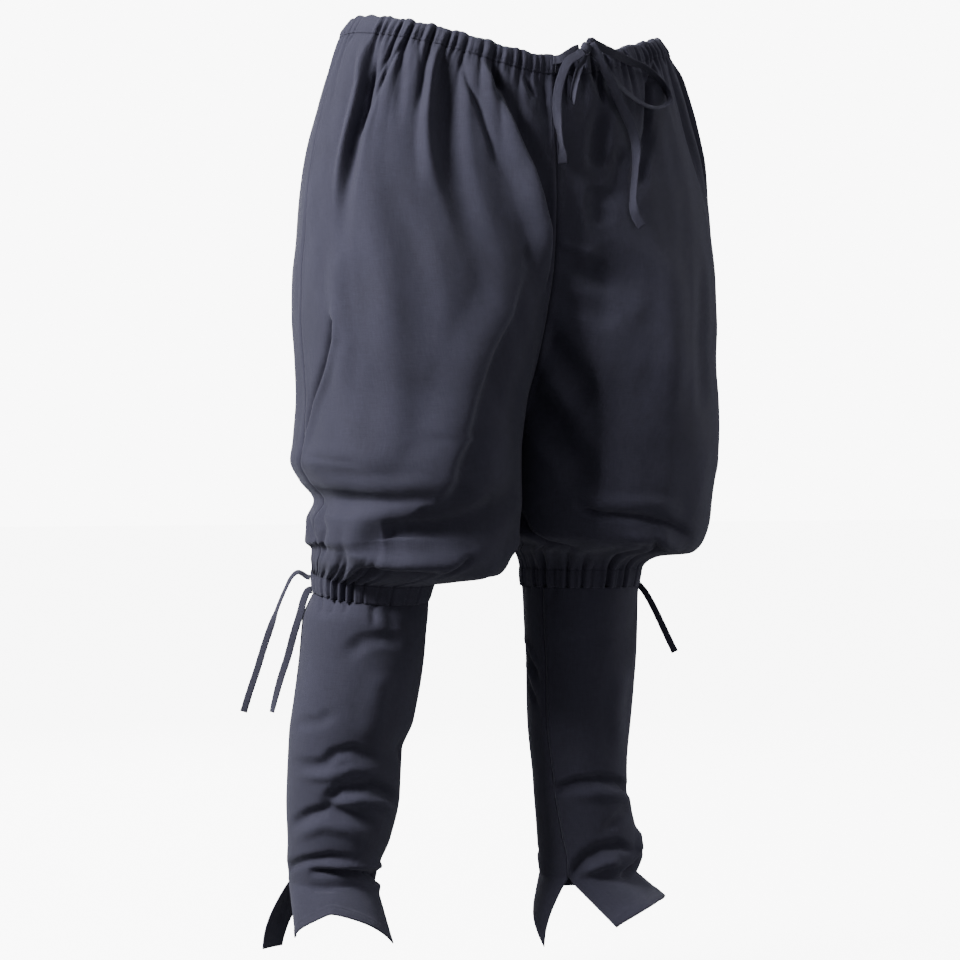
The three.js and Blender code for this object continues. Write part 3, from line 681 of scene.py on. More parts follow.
# The folds of the breeches, by the wearer's side. Fronts have positive across and backs negative.
BREECHES_FOLDS = {
    Side.RIGHT: (
        Fold(-12, 18, ((0.26, -4), (0.3, 46), (0.3, 84), (0.28, 115), (0.27, 153), (0.25, 192), (0.24, 240)),
             end=0.5),
        Fold(-6, 6, ((0.3, 30), (0.305, 84), (0.285, 118)), Profile.CREASE),
        Fold(5, 12, ((0.2, 10), (0.245, 60), (0.235, 120), (0.21, 190))),
        Fold(-13, 26, ((0.6, -6), (0.61, 33), (0.625, 72), (0.64, 126), (0.67, 186), (0.7, 246), (0.73, 320)),
             end=0.7),
        Fold(5, 16, ((0.545, 0), (0.545, 50), (0.56, 110), (0.585, 170))),
        Fold(13, 30, ((0.7, -4), (0.79, 38), (0.83, 70), (0.865, 100), (0.9, 132), (0.925, 170), (0.95, 210),
                      (0.96, 262)), Profile.LAP, end=0.15),
        Fold(-4, 7, ((0.36, -4), (0.36, 24), (0.33, 56)), Profile.CREASE),
        Fold(-5, 8, ((0.42, -4), (0.4, 15), (0.36, 51), (0.34, 82)), Profile.CREASE),
        Fold(-4, 11, ((0.42, -4), (0.42, 14), (0.44, 46), (0.45, 98))),
        Fold(-5, 10, ((0.52, -4), (0.53, 23), (0.53, 53), (0.53, 86))),
        Fold(-5, 9, ((0.655, -4), (0.66, 14), (0.69, 40), (0.74, 67), (0.78, 109), (0.8, 134)),
             Profile.CREASE),
        Fold(-6, 8, ((0.76, -4), (0.78, 23), (0.8, 40)), Profile.CREASE),
        Fold(-4, 9, ((0.79, -4), (0.79, 25), (0.81, 48), (0.84, 72))),
        Fold(-5, 9, ((0.86, -4), (0.9, 19), (0.93, 34)), Profile.CREASE),
        Fold(-5, 9, ((0.93, -4), (0.95, 22), (0.95, 61))),
        Fold(-9, 6, ((0.175, 322), (0.165, 340), (0.12, 369), (0.05, 406), (0.01, 449), (0.0, 476)),
             Profile.CREASE, start=0.05),
        Fold(4.5, 13, ((0.01, 455), (0.06, 406), (0.13, 369), (0.175, 338), (0.18, 310)),
             Profile.LAP, start=0.1, end=0.3),
        Fold(4, 20, ((0.21, 250), (0.2, 300), (0.21, 350), (0.17, 400))),
        Fold(9, 44, ((0.84, 262), (0.77, 313), (0.68, 349), (0.58, 402), (0.51, 450), (0.46, 495),
                     (0.39, 524)), Profile.LAP, end=0.2),
        Fold(4, 20, ((0.05, 500), (0.18, 504), (0.3, 505), (0.42, 498))),
        Fold(-18, 34, ((0.27, 566), (0.34, 562), (0.42, 560), (0.52, 551), (0.64, 534), (0.76, 506)),
             start=0.1, end=0.4),
        Fold(8, 15, ((0.12, 584), (0.33, 594), (0.49, 591), (0.67, 579))),
        Fold(-8, 9, ((0.2, 606), (0.29, 602), (0.38, 601), (0.52, 600)), Profile.CREASE),
        Fold(-6, 8, ((0.5, 602), (0.53, 592), (0.56, 582)), Profile.CREASE),
        Fold(5, 18, ((0.62, 596), (0.74, 586), (0.86, 570))),
        Fold(-2, 9, ((0.02, 465), (0.16, 472), (0.24, 475)), Profile.CREASE),
        Fold(-5, 12, ((-0.11, 529), (-0.06, 547), (0.0, 568), (0.0, 596)), Profile.CREASE),
        Fold(-5, 12, ((0.0, 520), (0.06, 556), (0.03, 598)), Profile.CREASE),
        Fold(3, 26, ((0.33, 150), (0.38, 260), (0.36, 380), (0.3, 470))),
        Fold(-3, 28, ((0.47, 200), (0.5, 290), (0.44, 380))),
        Fold(-9, 22, ((-0.3, 0), (-0.34, 100), (-0.44, 240)), end=0.5),
        Fold(-9, 24, ((-0.68, 0), (-0.6, 90), (-0.52, 210)), end=0.5),
        Fold(8, 22, ((-0.5, 0), (-0.46, 70), (-0.4, 160)), Profile.LAP),
        Fold(-6, 12, ((-0.86, 0), (-0.82, 60), (-0.76, 120)), Profile.CREASE),
        Fold(-6, 12, ((-0.14, 0), (-0.17, 60), (-0.2, 130)), Profile.CREASE),
        Fold(-9, 22, ((-0.98, 322), (-0.84, 312), (-0.7, 303), (-0.42, 300))),
        Fold(-6, 16, ((-0.98, 352), (-0.8, 350), (-0.62, 360)), Profile.LAP),
        Fold(-8, 22, ((-0.97, 400), (-0.84, 430), (-0.74, 470))),
        Fold(-10, 26, ((-0.14, 548), (-0.45, 526), (-0.78, 545))),
        Fold(5, 16, ((-0.2, 582), (-0.45, 566), (-0.7, 578))),
        Fold(-7, 10, ((-0.3, 602), (-0.5, 592), (-0.66, 600)), Profile.CREASE),
        Fold(6, 34, ((-0.5, 260), (-0.45, 360), (-0.5, 450))),
        Fold(-4, 24, ((-0.25, 300), (-0.22, 380), (-0.28, 460))),
    ),
    Side.LEFT: (
        Fold(2, 14, ((0.995, 232), (0.93, 238), (0.86, 246), (0.78, 258)), Profile.LAP, start=0.05, end=0.5),
        Fold(-5, 16, ((0.97, 254), (0.88, 264), (0.78, 284))),
        Fold(-9, 46, ((0.9, 250), (0.8, 268), (0.68, 300)), start=0.3, end=0.5),
        Fold(-5, 18, ((0.98, 298), (0.87, 304), (0.76, 320))),
        Fold(-9, 22, ((0.99, 334), (0.92, 361), (0.83, 388), (0.76, 418)), start=0.1),
        Fold(5, 16, ((0.97, 368), (0.86, 404), (0.75, 440))),
        Fold(-9, 26, ((0.97, 398), (0.83, 437), (0.75, 470), (0.72, 505)), start=0.1, end=0.2),
        Fold(-6, 8, ((0.82, -4), (0.82, 24), (0.81, 42)), Profile.CREASE),
        Fold(-9, 10, ((0.49, -4), (0.51, 14), (0.58, 31), (0.61, 61), (0.65, 100)), Profile.CREASE),
        Fold(-8, 20, ((0.82, 46), (0.84, 80), (0.85, 110), (0.84, 132))),
        Fold(-6, 22, ((0.85, 150), (0.86, 180), (0.84, 210))),
        Fold(-5, 18, ((0.76, 100), (0.79, 140), (0.81, 185))),
        Fold(-6, 16, ((0.62, 84), (0.68, 120), (0.7, 160))),
        Fold(-8, 20, ((0.36, -4), (0.33, 90), (0.24, 210)), end=0.5),
        Fold(6, 20, ((0.2, -4), (0.2, 80), (0.15, 170)), Profile.LAP),
        Fold(4, 30, ((0.6, 230), (0.56, 320), (0.52, 430))),
        Fold(-4, 22, ((0.42, 240), (0.42, 330), (0.36, 430))),
        Fold(3.5, 14, ((0.74, 512), (0.65, 517), (0.54, 518), (0.44, 524))),
        Fold(-9, 10, ((0.73, 524), (0.67, 530), (0.56, 533), (0.47, 540), (0.34, 556)),
             Profile.CREASE, start=0.15),
        Fold(6, 14, ((0.6, 552), (0.46, 562), (0.34, 576))),
        Fold(-8, 12, ((0.5, 556), (0.46, 574), (0.38, 600)), Profile.CREASE),
        Fold(-6, 12, ((0.96, 520), (0.92, 545), (0.86, 575), (0.7, 598)), Profile.CREASE),
        Fold(-8, 22, ((-0.36, 0), (-0.4, 120), (-0.5, 250)), end=0.5),
        Fold(-8, 24, ((-0.72, 0), (-0.66, 80), (-0.5, 190)), end=0.5),
        Fold(8, 20, ((-0.55, 0), (-0.52, 60), (-0.45, 140)), Profile.LAP),
        Fold(-6, 12, ((-0.88, 0), (-0.84, 50), (-0.8, 110)), Profile.CREASE),
        Fold(-6, 12, ((-0.18, 0), (-0.2, 70), (-0.26, 150)), Profile.CREASE),
        Fold(-8, 20, ((-0.98, 335), (-0.72, 318), (-0.4, 322))),
        Fold(-6, 15, ((-0.98, 366), (-0.78, 362), (-0.6, 374)), Profile.LAP),
        Fold(-8, 22, ((-0.97, 410), (-0.86, 440), (-0.72, 474))),
        Fold(-10, 24, ((-0.14, 556), (-0.5, 540), (-0.82, 532))),
        Fold(5, 16, ((-0.22, 588), (-0.5, 572), (-0.76, 566))),
        Fold(-7, 10, ((-0.3, 606), (-0.52, 598), (-0.7, 604)), Profile.CREASE),
        Fold(6, 34, ((-0.42, 300), (-0.5, 380), (-0.46, 470))),
        Fold(-4, 24, ((-0.22, 290), (-0.2, 380), (-0.26, 470))),
    ),
}
# The wrinkles of the lower legs, placed as on the breeches
SHIN_FOLDS = {
    Side.RIGHT: (
        Fold(-3.5, 5, ((0.16, -2), (0.2, 8), (0.24, 18)), Profile.CREASE),
        Fold(-3, 5, ((0.28, -2), (0.3, 17)), Profile.CREASE),
        Fold(-2.5, 5, ((0.36, -2), (0.38, 15)), Profile.CREASE),
        Fold(-4, 7, ((0.51, -2), (0.53, 14), (0.55, 29)), Profile.CREASE),
        Fold(-2.5, 9, ((0.6, 0), (0.66, 34))),
        Fold(-5, 11, ((0.18, 184), (0.33, 184), (0.39, 182), (0.45, 170), (0.54, 166), (0.65, 175),
                      (0.79, 182))),
        Fold(3, 9, ((0.24, 197), (0.42, 196), (0.55, 186), (0.7, 192))),
        Fold(-8, 12, ((0.42, 222), (0.49, 210), (0.66, 207), (0.76, 214), (0.92, 230)), start=0.1),
        Fold(4, 10, ((0.48, 226), (0.6, 222), (0.76, 228), (0.9, 242))),
        Fold(-7, 10, ((0.15, 254), (0.31, 238), (0.43, 231), (0.55, 237), (0.72, 254))),
        Fold(4, 12, ((0.22, 264), (0.4, 250), (0.55, 254), (0.68, 268))),
        Fold(-7, 9, ((0.02, 308), (0.12, 300), (0.29, 291), (0.46, 285), (0.62, 289))),
        Fold(-10, 8, ((0.36, 303), (0.48, 303), (0.62, 304), (0.8, 309), (1.0, 315)),
             Profile.CREASE, start=0.1, end=0.02),
        Fold(5, 7, ((0.42, 296), (0.6, 296), (0.8, 299), (1.0, 303)), end=0.02),
        Fold(4, 8, ((0.66, 318), (0.84, 322), (1.0, 326)), end=0.02),
        Fold(-2, 10, ((0.34, 323), (0.53, 326))),
        Fold(-2.5, 12, ((0.14, 141), (0.33, 135), (0.4, 124))),
        Fold(-4, 14, ((0.42, 64), (0.5, 46), (0.62, 42), (0.72, 50))),
        Fold(3, 20, ((0.62, 80), (0.6, 111), (0.61, 156))),
        Fold(-4, 14, ((0.86, 160), (0.94, 176), (1.0, 186)), end=0.05),
        Fold(-3.5, 9, ((-0.12, 178), (-0.4, 186), (-0.66, 176))),
        Fold(-5, 8, ((-0.28, 214), (-0.5, 206), (-0.8, 216))),
        Fold(4, 10, ((-0.3, 230), (-0.52, 222), (-0.78, 232))),
        Fold(-4.5, 8, ((-0.1, 254), (-0.34, 244), (-0.6, 252))),
        Fold(-7, 7, ((-0.96, 306), (-0.7, 296), (-0.42, 292), (-0.2, 300)), Profile.CREASE),
        Fold(4, 8, ((-0.9, 318), (-0.6, 308), (-0.3, 310))),
        Fold(-3, 12, ((-0.3, 70), (-0.5, 56), (-0.7, 66))),
    ),
    Side.LEFT: (
        Fold(-8, 10, ((0.99, 233), (0.85, 224), (0.67, 220), (0.5, 226), (0.3, 240)), start=0.02, end=0.1),
        Fold(4, 11, ((0.9, 240), (0.7, 236), (0.5, 242), (0.34, 254))),
        Fold(-8, 11, ((1.0, 334), (0.88, 311), (0.78, 301), (0.64, 298), (0.54, 306)), start=0.05),
        Fold(6, 10, ((0.9, 328), (0.78, 318), (0.66, 316))),
        Fold(-9, 9, ((0.64, 337), (0.53, 328), (0.42, 312), (0.3, 300))),
        Fold(5, 10, ((0.5, 312), (0.42, 296), (0.3, 286))),
        Fold(-4, 10, ((0.72, 280), (0.56, 263), (0.38, 255))),
        Fold(-2, 14, ((0.9, 58), (0.75, 62), (0.6, 66))),
        Fold(3, 20, ((0.5, 90), (0.54, 140), (0.5, 190))),
        Fold(2.5, 8, ((-0.76, 56), (-0.86, 72), (-0.94, 92)), end=0.3),
        Fold(-4, 7, ((-0.76, 70), (-0.86, 86), (-0.95, 108)), end=0.3),
        Fold(2.5, 8, ((-0.76, 86), (-0.86, 102), (-0.94, 122)), end=0.3),
        Fold(-4, 7, ((-0.75, 102), (-0.85, 120), (-0.94, 140)), end=0.3),
        Fold(-5, 8, ((-0.25, 228), (-0.42, 220), (-0.66, 228))),
        Fold(4, 10, ((-0.26, 244), (-0.44, 236), (-0.64, 244))),
        Fold(-4.5, 8, ((-0.12, 262), (-0.34, 270), (-0.6, 262))),
        Fold(-6, 8, ((-0.72, 312), (-0.56, 304), (-0.36, 308), (-0.14, 300)), Profile.CREASE),
        Fold(-3, 12, ((-0.3, 60), (-0.46, 70), (-0.6, 62))),
    ),
}
# Where the right front is gathered at the waist: place across, depth and reach
RIGHT_FRONT_PUCKERS = (
    (0.04, 3.0, 44), (0.09, 1.6, 16), (0.26, 4.2, 44), (0.3, 2.2, 20), (0.34, 3.2, 30), (0.365, 5.4, 66),
    (0.39, 2.6, 20), (0.42, 5.2, 58), (0.455, 2.2, 16), (0.475, 3.2, 30), (0.52, 5.6, 80), (0.545, 1.8, 14),
    (0.585, 4.0, 40), (0.615, 4.4, 34), (0.635, 3.0, 24), (0.655, 5.6, 70), (0.68, 3.4, 24), (0.695, 2.6, 16),
    (0.715, 4.6, 44), (0.735, 2.2, 14), (0.75, 3.2, 22), (0.766, 5.6, 60), (0.79, 4.4, 46), (0.814, 2.6, 16),
    (0.832, 3.8, 26), (0.86, 5.0, 60), (0.885, 3.0, 20), (0.905, 4.4, 32), (0.93, 4.0, 36), (0.955, 4.6, 64),
    (0.975, 2.4, 16),
)
WAIST_GATHERS = {
    (Side.RIGHT, Face.FRONT): Gathers(3, placed=RIGHT_FRONT_PUCKERS),
    (Side.RIGHT, Face.BACK): Gathers(5, spacing=(7.0, 17.0), depth=(1.8, 6.0), reach=(12.0, 84.0)),
    (Side.LEFT, Face.FRONT): Gathers(
        8, spacing=(9.0, 24.0), depth=(1.6, 5.0), reach=(12.0, 84.0), bare=((0.06, 0.16),)
    ),
    (Side.LEFT, Face.BACK): Gathers(13, spacing=(7.0, 17.0), depth=(1.8, 6.0), reach=(12.0, 84.0)),
}
# Where the fronts are gathered at the knees, in the same way
RIGHT_KNEE_PUCKERS = (
    (0.06, 1.8, 10), (0.12, 4.6, 26), (0.165, 5.2, 30), (0.215, 4.4, 22), (0.26, 5.0, 28), (0.32, 2.2, 12),
    (0.4, 0.8, 8), (0.47, 1.8, 16), (0.56, 0.8, 8), (0.64, 1.2, 14), (0.74, 0.6, 6), (0.82, 1.4, 12),
    (0.91, 0.8, 10),
)
LEFT_KNEE_PUCKERS = (
    (0.2, 1.0, 8), (0.3, 2.2, 12), (0.4, 4.4, 16), (0.445, 1.2, 8), (0.51, 6.0, 34), (0.6, 1.4, 8),
    (0.65, 4.0, 14), (0.73, 4.4, 24), (0.8, 1.2, 8), (0.86, 5.0, 30), (0.93, 2.6, 16),
)
KNEE_GATHERS = {
    (Side.RIGHT, Face.FRONT): Gathers(21, placed=RIGHT_KNEE_PUCKERS),
    (Side.RIGHT, Face.BACK): Gathers(22, spacing=(8, 24), depth=(0.8, 4.4), reach=(5, 24)),
    (Side.LEFT, Face.FRONT): Gathers(23, placed=LEFT_KNEE_PUCKERS),
    (Side.LEFT, Face.BACK): Gathers(24, spacing=(8, 24), depth=(0.8, 4.4), reach=(5, 24)),
}
SHIN_GATHERS = {
    (side, face): Gathers(
        70 + 2 * i + j, spacing=(9, 22), depth=(0.4, 1.9), reach=(4, 16), panel=SHIN_WIDTH
    )
    for i, side in enumerate(Side)
    for j, face in enumerate(Face)
}
# The swells of each leg's cloth
BREECHES_SWELLS = {Side.RIGHT: Unevenness(40, size=0.8), Side.LEFT: Unevenness(42, size=0.8)}
SHIN_SWELLS = {Side.RIGHT: Unevenness(60, size=0.35), Side.LEFT: Unevenness(62, size=0.35)}


# Meshes


@dataclass
class ClothGrid:
    """A sheet of cloth as rows of places: its outer and inner points, cloth coordinates and relief."""

    outer: np.ndarray
    inner: np.ndarray
    cloth: np.ndarray
    relief: np.ndarray
    is_ring: bool = False

    def faces(self) -> np.ndarray:
        """The faces of the closed wall.

        Returns:
            Rows of four point numbers.
        """
        rows, columns = self.outer.shape[:2]
        last = columns if self.is_ring else columns - 1
        step = rows * columns

        def place(row: np.ndarray | int, column: np.ndarray | int) -> np.ndarray:
            """The number of a place on the outer grid."""
            return row * columns + column % columns

        def rim(near: np.ndarray, far: np.ndarray, turned: bool) -> np.ndarray:
            """The faces that join the two sides along an edge."""
            strip = np.stack([near, far, far + step, near + step], -1)
            return strip[:, ::-1] if turned else strip

        r, c = np.meshgrid(np.arange(rows - 1), np.arange(last), indexing="ij")
        corners = [place(r, c), place(r + 1, c), place(r + 1, c + 1), place(r, c + 1)]
        quad = np.stack(corners, -1).reshape(-1, 4)
        parts = [quad, quad[:, ::-1] + step]
        k = np.arange(last)
        for row, turned in ((0, False), (rows - 1, True)):
            parts.append(rim(place(row, k), place(row, k + 1), turned))
        if not self.is_ring:
            k = np.arange(rows - 1)
            for column, turned in ((0, True), (columns - 1, False)):
                parts.append(rim(place(k, column), place(k + 1, column), turned))
        return np.concatenate(parts)


def signed_volume(points: np.ndarray, faces: np.ndarray) -> float:
    """The volume that faces of four points enclose, negative where they face inwards."""
    a, b, c, d = (points[faces[:, i]] for i in range(4))
    return float(((a * np.cross(b, c)).sum() + (a * np.cross(c, d)).sum()) / 6)


def make_mesh(
    name: str,
    points: np.ndarray,
    faces: np.ndarray | list,
    cloth: np.ndarray | None = None,
    relief: np.ndarray | None = None,
) -> bpy.types.Object:
    """Makes a smooth-shaded object.

    Args:
        name: The object's name.
        points: Its points, in millimetres.
        faces: Its faces, as rows of point numbers.
        cloth: Each point's place on the flat cloth, in millimetres, for the weave.
        relief: Each point's height over the smooth form, in millimetres.

    Returns:
        The object.
    """
    mesh = bpy.data.meshes.new(name)
    rows = faces.tolist() if isinstance(faces, np.ndarray) else faces
    mesh.from_pydata((points * MM).tolist(), [], rows)
    mesh.update()
    mesh.shade_smooth()
    if cloth is not None:
        loops = np.zeros(len(mesh.loops), np.int32)
        mesh.loops.foreach_get("vertex_index", loops)
        layer = mesh.uv_layers.new(name="cloth")
        layer.data.foreach_set("uv", (cloth[loops] * MM).astype(np.float32).ravel())
    if relief is not None:
        attribute = mesh.attributes.new("relief", "FLOAT", "POINT")
        attribute.data.foreach_set("value", relief.astype(np.float32).ravel())
    made = bpy.data.objects.new(name, mesh)
    bpy.context.scene.collection.objects.link(made)
    return made


def cloth_object(name: str, grid: ClothGrid) -> bpy.types.Object:
    """Makes the object of a sheet of cloth, its faces turned outwards.

    Args:
        name: The object's name.
        grid: The sheet's places.

    Returns:
        The object.
    """
    points = np.concatenate([grid.outer.reshape(-1, 3), grid.inner.reshape(-1, 3)])
    faces = grid.faces()
    if signed_volume(points, faces) < 0:
        faces = faces[:, ::-1]
    cloth = np.concatenate([grid.cloth.reshape(-1, 2)] * 2)
    relief = np.concatenate([grid.relief.ravel()] * 2)
    return make_mesh(name, points, faces, cloth, relief)


def sheet_area(grid: ClothGrid) -> float:
    """The area of the outer side of a sheet.

    Args:
        grid: The sheet's places.

    Returns:
        The area in square metres.
    """
    p = grid.outer
    a, b = p[1:, :-1] - p[:-1, 1:], p[1:, 1:] - p[:-1, :-1]
    return float(np.linalg.norm(np.cross(a, b), axis=-1).sum() / 2) * MM * MM


def run_along(line: np.ndarray) -> np.ndarray:
    """How far along a line each of its points is."""
    return np.concatenate([[0], np.cumsum(np.linalg.norm(np.diff(line, axis=0), axis=1))])


def sample(at: np.ndarray | float, run: np.ndarray, values: np.ndarray) -> np.ndarray:
    """Rows of three values at places along a run."""
    return np.stack([np.interp(at, run, values[:, k]) for k in range(3)], -1)


def tube_faces(links: int, around: int, start: int = 0, capped: bool = True) -> list[list[int]]:
    """The faces of a tube whose rings of points follow each other.

    Args:
        links: How many lengths the tube has between rings.
        around: How many points a ring has.
        start: The number of the first point.
        capped: Whether both ends are closed.

    Returns:
        Rows of point numbers.
    """
    faces = []
    for link in range(links):
        for k in range(around):
            a = start + link * around + k
            b = start + link * around + (k + 1) % around
            faces.append([a, b, b + around, a + around])
    if capped:
        faces.append([start + k for k in range(around)][::-1])
        faces.append([start + links * around + k for k in range(around)])
    return faces


# Finishes


@dataclass
class NodeBench:
    """A short way to add and join the nodes of one tree."""

    tree: bpy.types.NodeTree

    def add(self, kind: str, **settings: object) -> bpy.types.Node:
        """Adds a node.

        Args:
            kind: Its type.
            settings: Its properties.

        Returns:
            The node.
        """
        node = self.tree.nodes.new(kind)
        for key, value in settings.items():
            setattr(node, key, value)
        return node

    def join(self, source: object, target: object) -> None:
        """Feeds one socket from another, or sets it to a value.

        Args:
            source: The socket or the value.
            target: The input.
        """
        if isinstance(source, bpy.types.NodeSocket):
            self.tree.links.new(source, target)
        else:
            target.default_value = source

    def feed(self, node: bpy.types.Node, sources: dict[str, object]) -> None:
        """Feeds several inputs of a node, each by its label."""
        for label, source in sources.items():
            self.join(source, node.inputs[label])

    def math(
        self, operation: str, first: object, second: object = 0.0, clamp: bool = False
    ) -> bpy.types.NodeSocket:
        """Adds a Math node.

        Args:
            operation: What it does.
            first: Its first number or socket.
            second: Its second.
            clamp: Whether its result stays within 0 and 1.

        Returns:
            Its output.
        """
        node = self.add("ShaderNodeMath", operation=operation, use_clamp=clamp)
        self.join(first, node.inputs[0])
        self.join(second, node.inputs[1])
        return node.outputs[0]

    def noise(
        self, where: object, scale: object, detail: float = 3.0, roughness: float = 0.55
    ) -> bpy.types.NodeSocket:
        """Adds a Noise Texture.

        Args:
            where: The socket that gives its places.
            scale: Its scale, as a number or a socket.
            detail: How many finer layers it has.
            roughness: How strong the finer layers are.

        Returns:
            Its grey value.
        """
        node = self.add("ShaderNodeTexNoise")
        self.feed(node, {"Vector": where, "Scale": scale, "Detail": detail, "Roughness": roughness})
        return node.outputs["Fac"]

    def span(
        self, value: object, low: float, high: float, to_low: object, to_high: object
    ) -> bpy.types.NodeSocket:
        """Adds a Map Range.

        Args:
            value: The number or socket to turn into another.
            low: The value that becomes to_low.
            high: The value that becomes to_high.
            to_low: The result's one end.
            to_high: Its other end.

        Returns:
            Its result, held within its two ends.
        """
        node = self.add("ShaderNodeMapRange")
        ends = {"From Min": low, "From Max": high, "To Min": to_low, "To Max": to_high}
        self.feed(node, {"Value": value, **ends})
        return node.outputs["Result"]


class EffectGroup(ABC):
    """A shared shader node group, built once, that gives out numbers."""

    name: str
    inputs: dict[str, float]
    outputs: tuple[str, ...]

    def build(self) -> bpy.types.NodeTree:
        """Builds the node group, or finds the one that is there.

        Returns:
            The node group.
        """
        made = bpy.data.node_groups.get(self.name)
        if made:
            return made
        group = bpy.data.node_groups.new(self.name, "ShaderNodeTree")
        for label, value in self.inputs.items():
            socket = group.interface.new_socket(label, in_out="INPUT", socket_type="NodeSocketFloat")
            socket.default_value = value
        for label in self.outputs:
            group.interface.new_socket(label, in_out="OUTPUT", socket_type="NodeSocketFloat")
        bench = NodeBench(group)
        given, out = bench.add("NodeGroupInput").outputs, bench.add("NodeGroupOutput").inputs
        self.fill(bench, given, out)
        return group

    @abstractmethod
    def fill(self, bench: NodeBench, given: object, out: object) -> None:
        """Adds the group's own nodes between its inputs and its outputs."""


class WeaveGroup(EffectGroup):
    """The plain weave: threads over and under, slubs in them, as a height and a shade."""

    name = "plain weave"
    inputs = {"Thread": 0.0006, "Slub": 0.5}
    outputs = ("Height", "Shade")
    # How fine the slubs' noise is across and down the cloth, for the warp and for the weft
    stretches = ((900.0, 60.0, 1.0), (70.0, 1100.0, 1.0))

    def fill(self, bench: NodeBench, given: object, out: object) -> None:
        """Adds the weave's nodes.

        Args:
            bench: The bench of the group's tree.
            given: The group's inputs.
            out: The group's outputs.
        """
        where = bench.add("ShaderNodeUVMap", uv_map="cloth").outputs["UV"]
        split = bench.add("ShaderNodeSeparateXYZ")
        bench.join(where, split.inputs[0])
        turn = bench.math("DIVIDE", math.pi, given["Thread"])
        warp = bench.math("SINE", bench.math("MULTIPLY", split.outputs["X"], turn))
        weft = bench.math("SINE", bench.math("MULTIPLY", split.outputs["Y"], turn))
        over = bench.math("MULTIPLY", warp, weft)
        pick = bench.math("GREATER_THAN", over, 0.0)
        shown_warp = bench.math("MULTIPLY", bench.math("ABSOLUTE", warp), pick)
        shown_weft = bench.math("MULTIPLY", bench.math("ABSOLUTE", weft), bench.math("SUBTRACT", 1.0, pick))
        chosen = bench.math("ADD", shown_warp, shown_weft)
        slubs = []
        for stretch in self.stretches:
            scaled = bench.add("ShaderNodeMapping")
            bench.feed(scaled, {"Scale": stretch, "Vector": where})
            noise = bench.noise(scaled.outputs["Vector"], 1.0, 2.0)
            slubs.append(bench.math("SUBTRACT", noise, 0.5))
        slub = bench.math("ADD", *slubs)
        thick = bench.math("MULTIPLY", slub, bench.math("MULTIPLY", given["Slub"], 3.0))
        bench.join(bench.math("ADD", chosen, thick), out["Height"])
        shade = bench.math("ADD", bench.math("MULTIPLY", chosen, 0.35), bench.math("ADD", slub, 0.45))
        bench.join(shade, out["Shade"])


class WearAndCreaseShadeGroup(EffectGroup):
    """The unevenness of dyed cotton: cloudy fading and lint, with painted shade, darker in fold valleys,
    creases and seam grooves, and paler on ridges and edges as worn fading.
    """

    name = "cotton wear"
    inputs = {"Cloud": 14.0, "Lint": 900.0, "Ridge fade and crease shade": 0.5}
    outputs = ("Fade", "Roughness")

    def fill(self, bench: NodeBench, given: object, out: object) -> None:
        """Adds the wear's nodes.

        Args:
            bench: The bench of the group's tree.
            given: The group's inputs.
            out: The group's outputs.
        """
        where = bench.add("ShaderNodeTexCoord").outputs["Object"]
        cloud = bench.noise(where, given["Cloud"], detail=4.0, roughness=0.5)
        lint = bench.noise(where, given["Lint"], detail=2.0, roughness=0.5)
        relief = bench.add("ShaderNodeAttribute", attribute_name="relief").outputs["Fac"]
        # Painted shade from the relief: darker in fold valleys, creases and seam grooves, paler on ridges as
        # worn fading
        ridge_fade_crease_shade = bench.math("MULTIPLY", bench.span(relief, -6.0, 8.0, -0.5, 0.5), given["Ridge fade and crease shade"])
        clouded_and_shaded = bench.math("ADD", bench.math("SUBTRACT", cloud, 0.5), ridge_fade_crease_shade)
        specks = bench.math("MULTIPLY", bench.math("SUBTRACT", lint, 0.5), 0.5)
        fade = bench.math("ADD", clouded_and_shaded, bench.math("ADD", specks, 0.5), clamp=True)
        bench.join(fade, out["Fade"])
        bench.join(bench.span(cloud, 0.3, 0.7, 0.8, 0.94), out["Roughness"])


def new_material(name: str) -> tuple[bpy.types.Material, NodeBench, bpy.types.Node]:
    """Makes a material.

    Args:
        name: Its name.

    Returns:
        The material, a bench for its nodes, and its shader.
    """
    made = bpy.data.materials.new(name)
    made.use_nodes = True
    return made, NodeBench(made.node_tree), made.node_tree.nodes["Principled BSDF"]


